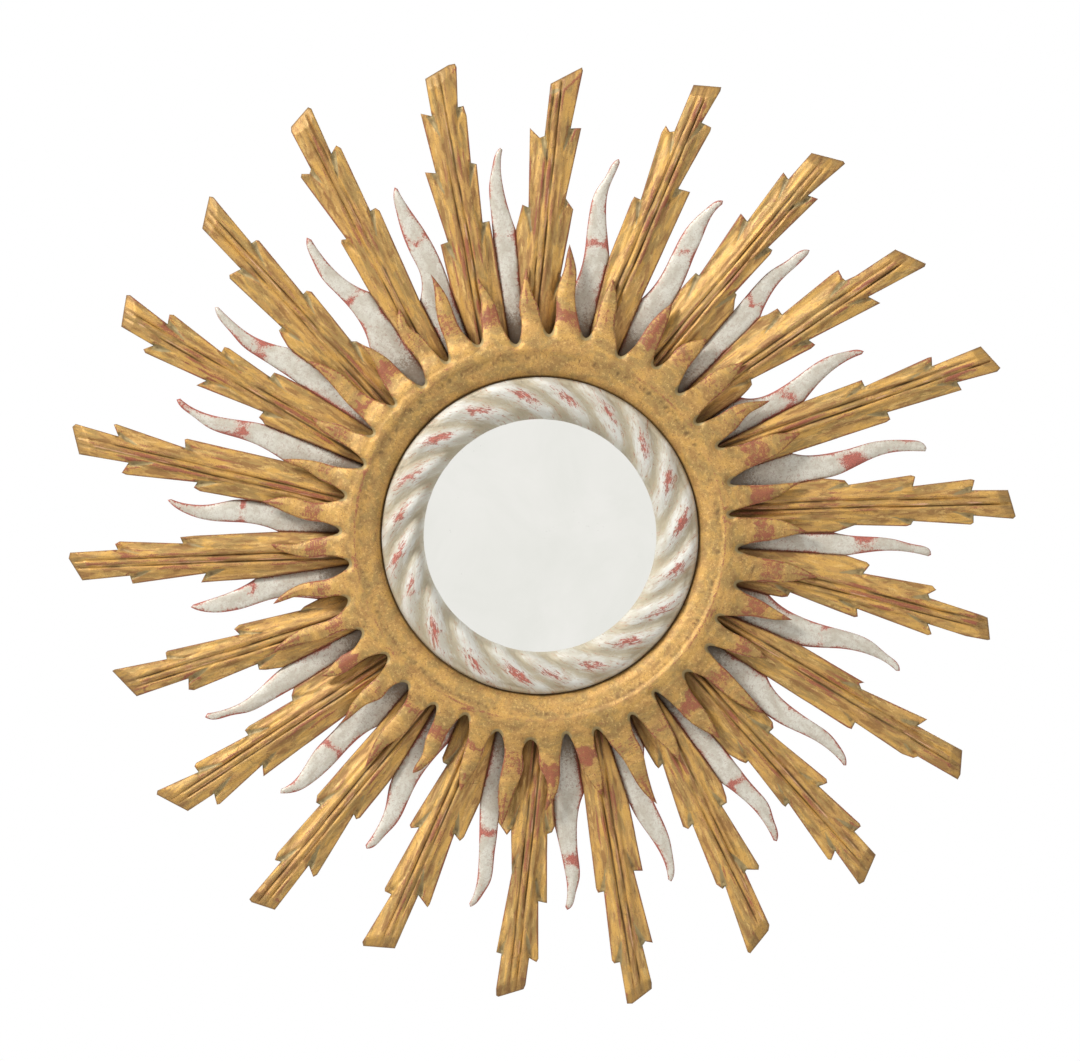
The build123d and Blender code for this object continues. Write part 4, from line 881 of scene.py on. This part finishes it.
def make_silver_ray(number, materials):
    """A silver ray with a rounded crown, and the name of its solid."""
    node = f"silver_ray_{number:02d}"
    solid = welded(node)
    outline = back_outline(solid)
    carving = Carving(solid, outline, hex_grid(outline, SPACING))
    solid.free()
    away = carving.away
    seed = 5000 + 100 * number
    x, z = carving.points.T
    reach = np.hypot(x, z)
    bearing = np.arctan2(x, z)
    middle = atan2(*outline.mean(axis=0))
    across = np.angle(np.exp(1j * (bearing - middle))) * reach
    short = unit(1 - away / SILVER_CROWN_WIDTH)
    drop = SILVER_CROWN * (1 - np.sqrt(unit(1 - short ** 2)))
    swell = 0.3 * noise(across / 14, reach / 26, seed) + 0.1 * noise(across / 4, reach / 9, seed + 1)
    levels = carving.levels - drop - 0.35 + swell * climb(away, 0, 5)
    carving.levels = blurred(levels, carving.pairs, 1)
    wear, hollow_dirt_and_shade = relief_masks(carving.levels, carving.pairs, away)
    side_patches = unit(0.3 + 0.9 * noise(reach / 13, across * 0 + np.sign(across), seed + 4))
    bole = 0.75 * np.exp(-away / 0.7) + 0.85 * side_patches * np.exp(-away / 2.8)
    if number in SILVER_BANDS:
        radius, half = SILVER_BANDS[number]
        wavy = reach + 3.5 * noise(across / 5, reach / 30, seed + 2)
        bole += 0.9 * bell(wavy, radius, half) * (0.7 + 0.6 * noise(across / 7, reach / 14, seed + 3))
    root = 1 - climb(reach, *SILVER_ROOT)
    deep = 1 - climb(reach, *SILVER_DEEP_ROOT)
    # The root, most of all under the gold ring, is painted darker as dirt and as shade.
    masks = {"grain": np.column_stack([across, reach, np.full(len(across), 9.1 * number)]),
             "wear": wear * 0.2,
             "hollow_dirt_and_shade": unit(hollow_dirt_and_shade * 0.2 + 0.3 * root + 0.7 * deep),
             "bole": bole + 0.16 * root}
    back = np.full(len(carving.points), HUB_FRONT)
    return carving.build(f"carved_{node}", back, masks, materials, number), node


# The gold ring and its fingers

# Where the fingers begin and where their tips darken
FINGER_START = (172, 186)
FINGER_TIP = (205, 232)
# The ring's raised line and its brown, scratched band
BEAD_RADIUS = 160.0
BROWN_RADIUS = 153.0
# Lengths round the ring are counted at this radius
RING_TURN_RADIUS = 170.0
# The red across a finger
RED_BAND = (185, 203)
# Fingers whose red band differs, counted clockwise from the top
RED_BANDS = {1: (186, 210), 4: (182, 210), 19: (191, 212), 21: (186, 193), 23: (182, 193), 30: (184, 193),
             31: (187, 205), 32: (183, 193)}
FINGER_CROWN = 2.4
FINGER_CROWN_WIDTH = 9.0
# The soft lips round the notches
LIP_REACH = 10.0
LIP_DROP = 3.6


def circle(radius, spacing):
    """Points round a circle, about this spacing apart."""
    count = round(2 * pi * radius / spacing)
    turn = np.arange(count) * 2 * pi / count
    return np.column_stack([radius * np.cos(turn), radius * np.sin(turn)])


def ring_grid(inner, outer):
    """Points on circles from the inner radius to the outer one."""
    circles = [circle(radius, SPACING * 1.05) for radius in np.arange(inner, outer, SPACING * 0.92)]
    return np.vstack(circles)


def notch_points(rim):
    """The bottoms of the notches between the fingers: points nearer to the middle than those round them."""
    reach = np.hypot(*rim.T)
    near = round(9 / SPACING)
    lowest = np.min([np.roll(reach, shift) for shift in range(-near, near + 1)], axis=0)
    return rim[(reach <= lowest + 1e-9) & (reach < 182)]


def make_gold_ring(materials):
    """The gold ring with its crowned fingers and soft notches, and the name of its solid."""
    solid = welded("gold_ring")
    outline = front_outline(solid)
    hole = circle(RING_INNER, SPACING)
    carving = Carving(solid, outline, ring_grid(RING_INNER + 0.9, 260), hole)
    solid.free()
    away = carving.away
    x, z = carving.points.T
    reach = np.hypot(x, z)
    bearing = np.degrees(np.arctan2(x, z)) % 360
    turn = np.radians(bearing) * RING_TURN_RADIUS
    notches = notch_points(carving.rim)
    notch_bearings = np.sort(np.degrees(np.arctan2(notches[:, 0], notches[:, 1])) % 360)
    # Which finger each point lies in, counted clockwise from the top
    finger = np.searchsorted(notch_bearings, bearing) % len(notches) + 1
    levels = blurred(carving.levels, carving.pairs, 1)
    on_finger = climb(reach, *FINGER_START)
    short = unit(1 - away / FINGER_CROWN_WIDTH)
    levels -= FINGER_CROWN * short ** 2 * on_finger
    levels -= rounded_edge(away, 1.1)
    levels += 0.3 * bell(reach, BEAD_RADIUS, 2.6) - 0.5 * bell(reach, BEAD_RADIUS - 5.4, 1.6)
    levels -= 0.3 * bell(reach, BEAD_RADIUS + 6, 2.0)
    marks = 0.16 * noise(turn / 9, reach / 5, 31) + 0.1 * noise(turn / 3, reach / 3, 32)
    levels += marks * climb(away, 0, 3)
    lip = np.zeros(len(levels))
    for notch_x, notch_z in notches:
        gap = np.hypot(x - notch_x, z - notch_z)
        lip = np.maximum(lip, climb(-gap, -LIP_REACH, -1.0))
    levels -= LIP_DROP * lip * unit(1 - away / (LIP_REACH * 0.7))
    carving.levels = np.minimum(levels, RING_TOP)
    wear, hollow_dirt_and_shade = relief_masks(carving.levels, carving.pairs, away)
    fingers = range(1, len(notches) + 1)
    bands = np.array([RED_BANDS.get(number, RED_BAND) for number in fingers], dtype=float)
    low, high = bands[finger - 1].T
    rng = np.random.default_rng(12)
    move = rng.uniform(-4, 4, len(bands))
    strength = rng.uniform(0.3, 0.85, len(bands))
    wavy = reach + 6 * noise(turn / 6, reach / 9, 40) + 3 * noise(turn / 2.2, reach / 4, 41)
    wavy += move[finger - 1]
    band = climb(wavy, low - 4, low + 3) * (1 - climb(wavy, high - 5, high + 5))
    tip = climb(reach, *FINGER_TIP)
    cove = 1 - climb(reach, RING_INNER, RING_INNER + 4)
    bead = bell(reach, BEAD_RADIUS, 3.0) * unit(0.5 + 0.8 * noise(turn / 60, turn * 0, 44))
    hatch = bell(reach, BROWN_RADIUS, 3.0) * unit(noise(turn / 2.1, reach / 4, 43))
    brown_band = bell(reach, BROWN_RADIUS, 6.0)
    masks = {"grain": np.column_stack([turn, reach, np.full(len(turn), 3.0)]),
             "wear": wear * 0.8,
             # Recesses and the cove beside the rope are painted dark as shade, with the tool marks and the
             # brown band as dirt.
             "hollow_dirt_and_shade": unit(hollow_dirt_and_shade * 0.7 + 0.1 * cove + 0.5 * hatch + 0.3 * brown_band),
             # The notches' lips are painted olive, as shade.
             "olive_shade": unit(1.3 * lip * bell(away, 0, 2.4)),
             # The fingers' edges are painted pale, as wear and as a highlight.
             "crest_wear_and_highlight": 0.6 * np.exp(-away / 0.9) * (1 - tip) * on_finger,
             "bole": band * on_finger * strength[finger - 1] + 0.35 * tip + 0.42 * bead,
             "shade": 0.3 * tip}
    back = np.where(reach > ROOT_RADIUS, RING_UNDERSIDE + (reach - ROOT_RADIUS) * RISE, HUB_FRONT)
    ring = carving.build("carved_gold_ring", back, masks, materials, 77)
    return ring, "gold_ring"


# The rope moulding

# The strands' crests at the crest radius and how far they turn over the width, in degrees clockwise
CREST_BEARINGS = [10, 28, 47, 65, 85, 103, 122, 138, 157, 174,
                  188, 208, 228, 247, 263, 278, 295, 313, 332, 353]
CREST_RADIUS = 120.0
TWIST = 21.0
GROOVE_DEPTH = 3.0
# How long the grain counts a strand's width, and each millimetre of the rope's width
STRAND_PITCH = 25.0
STRAND_LEAN = 1.5
# Lengths round the rope are counted at this radius
ROPE_TURN_RADIUS = 118.0
ROPE_SIDE_POINTS = 9
# Powers under 1 make the arch fuller than a half ellipse
ROPE_FULLNESS = 0.78
ROPE_OUTER_FULLNESS = 0.58
# How far the rope's side swells into the joint to the gold ring
JOINT_FILL = 0.22
# Its red patch across a strand
PATCH_PLACE = 0.06
PATCH_WIDTH = 0.19


def strand_phase(bearing, radius):
    """Counts the strands clockwise: whole numbers on their crests, halves in the grooves between them."""
    crests = np.array(CREST_BEARINGS, dtype=float)
    known = np.concatenate([crests - 360, crests, crests + 360])
    twisted = (bearing - TWIST * (CREST_RADIUS - radius) / (ROPE_OUTER - ROPE_INNER)) % 360
    return np.interp(twisted, known, np.arange(len(known)) - len(crests))


def make_rope(materials):
    """The rope moulding: an arched section swept round, with slanting strands, and the name of its solid."""
    turns = round(2 * pi * ROPE_TURN_RADIUS / SPACING)
    middle = (ROPE_INNER + ROPE_OUTER) / 2
    arch = (ROPE_OUTER - ROPE_INNER) / 2
    side = np.linspace(ROPE_FOOT, ROPE_SIDE_TOP, ROPE_SIDE_POINTS)
    swing = np.linspace(0, pi, round(pi * arch / SPACING) + 1)
    section = [(0.0, level) for level in side[:-1]]
    section += [(angle, ROPE_SIDE_TOP) for angle in swing]
    section += [(pi, level) for level in side[-2::-1]]
    angles = np.array([angle for angle, _ in section])
    bases = np.array([level for _, level in section])
    bearing = np.arange(turns) * 360 / turns
    angle, spin = np.meshgrid(angles, bearing)
    base, _ = np.meshgrid(bases, bearing)
    fullness = np.where(angle > pi / 2, ROPE_OUTER_FULLNESS, ROPE_FULLNESS)
    radius = middle - arch * np.sign(np.cos(angle)) * np.abs(np.cos(angle)) ** fullness
    phase = strand_phase(spin, radius)
    beside = phase - np.round(phase)
    lobe = (0.5 + 0.5 * np.cos(2 * pi * beside)) ** 0.85
    arched = unit(np.sin(angle)) ** fullness
    along = spin * pi / 180 * ROPE_TURN_RADIUS
    strand_across = beside * STRAND_PITCH
    strand_along = (radius - ROPE_INNER) * STRAND_LEAN
    marks = 0.24 * noise(strand_across / 2.4, radius / 15, 61) + 0.18 * noise(along / 5, radius / 5, 62)
    swell = 0.5 * noise(phase * 0.9, radius / 20, 63)
    outer_side = climb(radius, ROPE_OUTER - 3, ROPE_OUTER)
    sunk = GROOVE_DEPTH * (1 - lobe) * (0.35 + 0.65 * arched)
    sunk -= (marks + swell * 0.5) * (0.2 + 0.8 * arched)
    sunk = np.maximum(sunk + 0.5 * arched, 0.02) * (1 - outer_side) - JOINT_FILL * outer_side
    sunk = np.where(arched < 1e-6, sunk * climb(base, ROPE_FOOT, ROPE_FOOT + 6), sunk)
    out = radius + np.cos(angle) * sunk
    level = base + arch * arched - arched * sunk
    x = out * np.sin(np.radians(spin))
    z = out * np.cos(np.radians(spin))
    corners = np.column_stack([x.ravel(), level.ravel(), z.ravel()])
    columns = len(section)
    faces = []
    for i in range(turns):
        here = i * columns
        there = ((i + 1) % turns) * columns
        for j in range(columns):
            beyond = (j + 1) % columns
            faces.append((here + j, here + beyond, there + beyond, there + j))
    number = np.round(phase).astype(int) % len(CREST_BEARINGS)
    patch_radius = CREST_RADIUS + 5 * (lattice(number, number * 0 + 5, 9) - 0.5)
    ragged = 0.09 * noise(strand_across / 1.6, strand_along / 5, 64)
    patch = bell(beside + ragged, PATCH_PLACE, PATCH_WIDTH) * bell(radius, patch_radius, 7)
    strength = 0.65 + 0.45 * lattice(number, number * 0 + 3, 8)
    masks = {"grain": np.column_stack([strand_across.ravel(), strand_along.ravel(), (number * 4.3).ravel()]),
             # The grooves between strands and the rope's sides are painted beige, as shade and dirt.
             "hollow_dirt_and_shade": ((1 - lobe) * 0.75 + 0.35 * (1 - arched)).ravel(),
             "bole": (patch * strength).ravel()}
    rope = make_object("carved_rope_moulding", corners, faces, masks, materials)
    return rope, "rope_moulding"


# Putting it together

FLOOR_LEVEL = -1.3
FLOOR_RADIUS = 7.5
# The floor fades to white between these distances from its middle, in metres
FLOOR_FADE = (2.0, 6.5)
WORLD_LIGHT = 0.36


def dress_solids(dress):
    """Gives each solid that stays as it is its material."""
    for node, material in dress.items():
        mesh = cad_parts[node].data
        mesh.materials.clear()
        mesh.materials.append(material)


def make_floor():
    """A pale round floor, too far down for the photograph's frame, that fades to white towards its rim."""
    bpy.ops.mesh.primitive_circle_add(vertices=128, radius=FLOOR_RADIUS, fill_type="NGON",
                                      location=(0, 0, FLOOR_LEVEL))
    floor = bpy.context.object
    floor.name = "floor"
    paint = Paint("pale_floor")
    place = paint.place()
    reach = paint.node("VectorMath", {0: place}, operation="LENGTH").outputs["Value"]
    paint.finish(colour=(0.86, 0.86, 0.85, 1.0), roughness=0.9, metallic=0.0)
    white = paint.node("Emission", {"Color": (1, 1, 1, 1), "Strength": 1.0}).outputs[0]
    seen = paint.node("LightPath").outputs["Is Camera Ray"]
    share = paint.math("MULTIPLY", paint.step(reach, *FLOOR_FADE), seen)
    blend = paint.node("MixShader", {0: share, 1: paint.shader.outputs[0], 2: white})
    paint.tree.links.new(blend.outputs[0], paint.output.inputs["Surface"])
    floor.data.materials.append(paint.material)


def make_world():
    """An even pale light, and plain white for what the camera, a reflection or light through glass sees."""
    world = bpy.data.worlds.new("studio")
    bpy.context.scene.world = world
    world.use_nodes = True
    nodes = world.node_tree.nodes
    links = world.node_tree.links
    background = nodes["Background"]
    background.inputs["Color"].default_value = (1, 1, 1, 1)
    path = nodes.new("ShaderNodeLightPath")
    seen = path.outputs["Is Camera Ray"]
    for ray in ("Is Glossy Ray", "Is Transmission Ray"):
        either = nodes.new("ShaderNodeMath")
        either.operation = "MAXIMUM"
        links.new(seen, either.inputs[0])
        links.new(path.outputs[ray], either.inputs[1])
        seen = either.outputs[0]
    strength = nodes.new("ShaderNodeMapRange")
    strength.inputs["To Min"].default_value = WORLD_LIGHT
    strength.inputs["To Max"].default_value = 1.0
    links.new(seen, strength.inputs["Value"])
    links.new(strength.outputs[0], background.inputs["Strength"])


def add_lamp(name, place, size, level):
    """A square soft lamp aimed at the object, as strong as lights a surface that faces it to this level."""
    lamp = bpy.data.lights.new(name, "AREA")
    lamp.shape = "SQUARE"
    lamp.size = size
    distance = Vector(place).length
    lamp.energy = level * pi ** 2 * distance ** 2
    holder = bpy.data.objects.new(name, lamp)
    holder.location = place
    holder.rotation_euler = (-Vector(place)).to_track_quat("-Z", "Y").to_euler()
    bpy.context.scene.collection.objects.link(holder)


def add_camera():
    """A long lens straight in front, which frames the object as the photograph does."""
    lens = bpy.data.cameras.new("camera")
    lens.sensor_fit = "HORIZONTAL"
    lens.lens = lens.sensor_width * CAMERA_DISTANCE / VIEW_WIDTH
    lens.clip_end = 100
    camera = bpy.data.objects.new("camera", lens)
    camera.location = (0, -CAMERA_DISTANCE - VIEW_LEVEL, FRAME_RISE)
    camera.rotation_euler = (radians(90), 0, 0)
    bpy.context.scene.collection.objects.link(camera)
    bpy.context.scene.camera = camera


def main():
    gold = gold_leaf("gold_leaf_on_rays", (0.32, 0.07, 1), (0.11, 0.024, 1), 0.4, 0.9)
    ring_gold = gold_leaf("gold_leaf_on_ring", (0.4, 0.34, 1), (0.045, 0.07, 1), 0.6, 0.5)
    silver = silver_leaf()
    wood = raw_wood("aged_wood", srgb(170, 132, 88), srgb(128, 92, 58))
    pieces = []
    for number in range(1, 23):
        pieces.append((*make_gold_ray(number, [gold, wood]), "gold_leaf"))
        pieces.append((*make_silver_ray(number, [silver, wood]), "silver_leaf"))
    pieces.append((*make_gold_ring([ring_gold, wood]), "gold_leaf"))
    pieces.append((*make_rope([white_gilding()]), "white_gilding"))
    for piece, node, slot in pieces:
        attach(piece, "mirror_body")
        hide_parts(node)
    steel = worn_metal("dull_steel", srgb(168, 164, 156), srgb(104, 96, 86), 0.32)
    brass = worn_metal("old_brass", srgb(190, 158, 98), srgb(120, 92, 54), 0.3)
    hub_wood = raw_wood("hub_wood", srgb(186, 150, 104), srgb(146, 108, 70))
    dress_solids({"mirror_glass": mirror_glass(), "hub_board": hub_wood, "glass_packing": card(),
                  "backboard": backboard_paint(), "ray_screws": steel, "moulding_screws": steel,
                  "backboard_screws": steel, "hanger_strap": brass, "hanging_ring": brass,
                  "hanger_screws": brass})
    make_floor()
    make_world()
    add_lamp("key_lamp", (-2.7, -2.0, 2.5), 1.0, 1.0)
    add_lamp("fill_lamp", (2.8, -3.4, 0.6), 2.0, 0.14)
    add_lamp("back_lamp", (1.6, 3.6, 1.8), 2.0, 0.35)
    add_camera()
    bpy.context.scene.view_settings.view_transform = "Standard"


main()
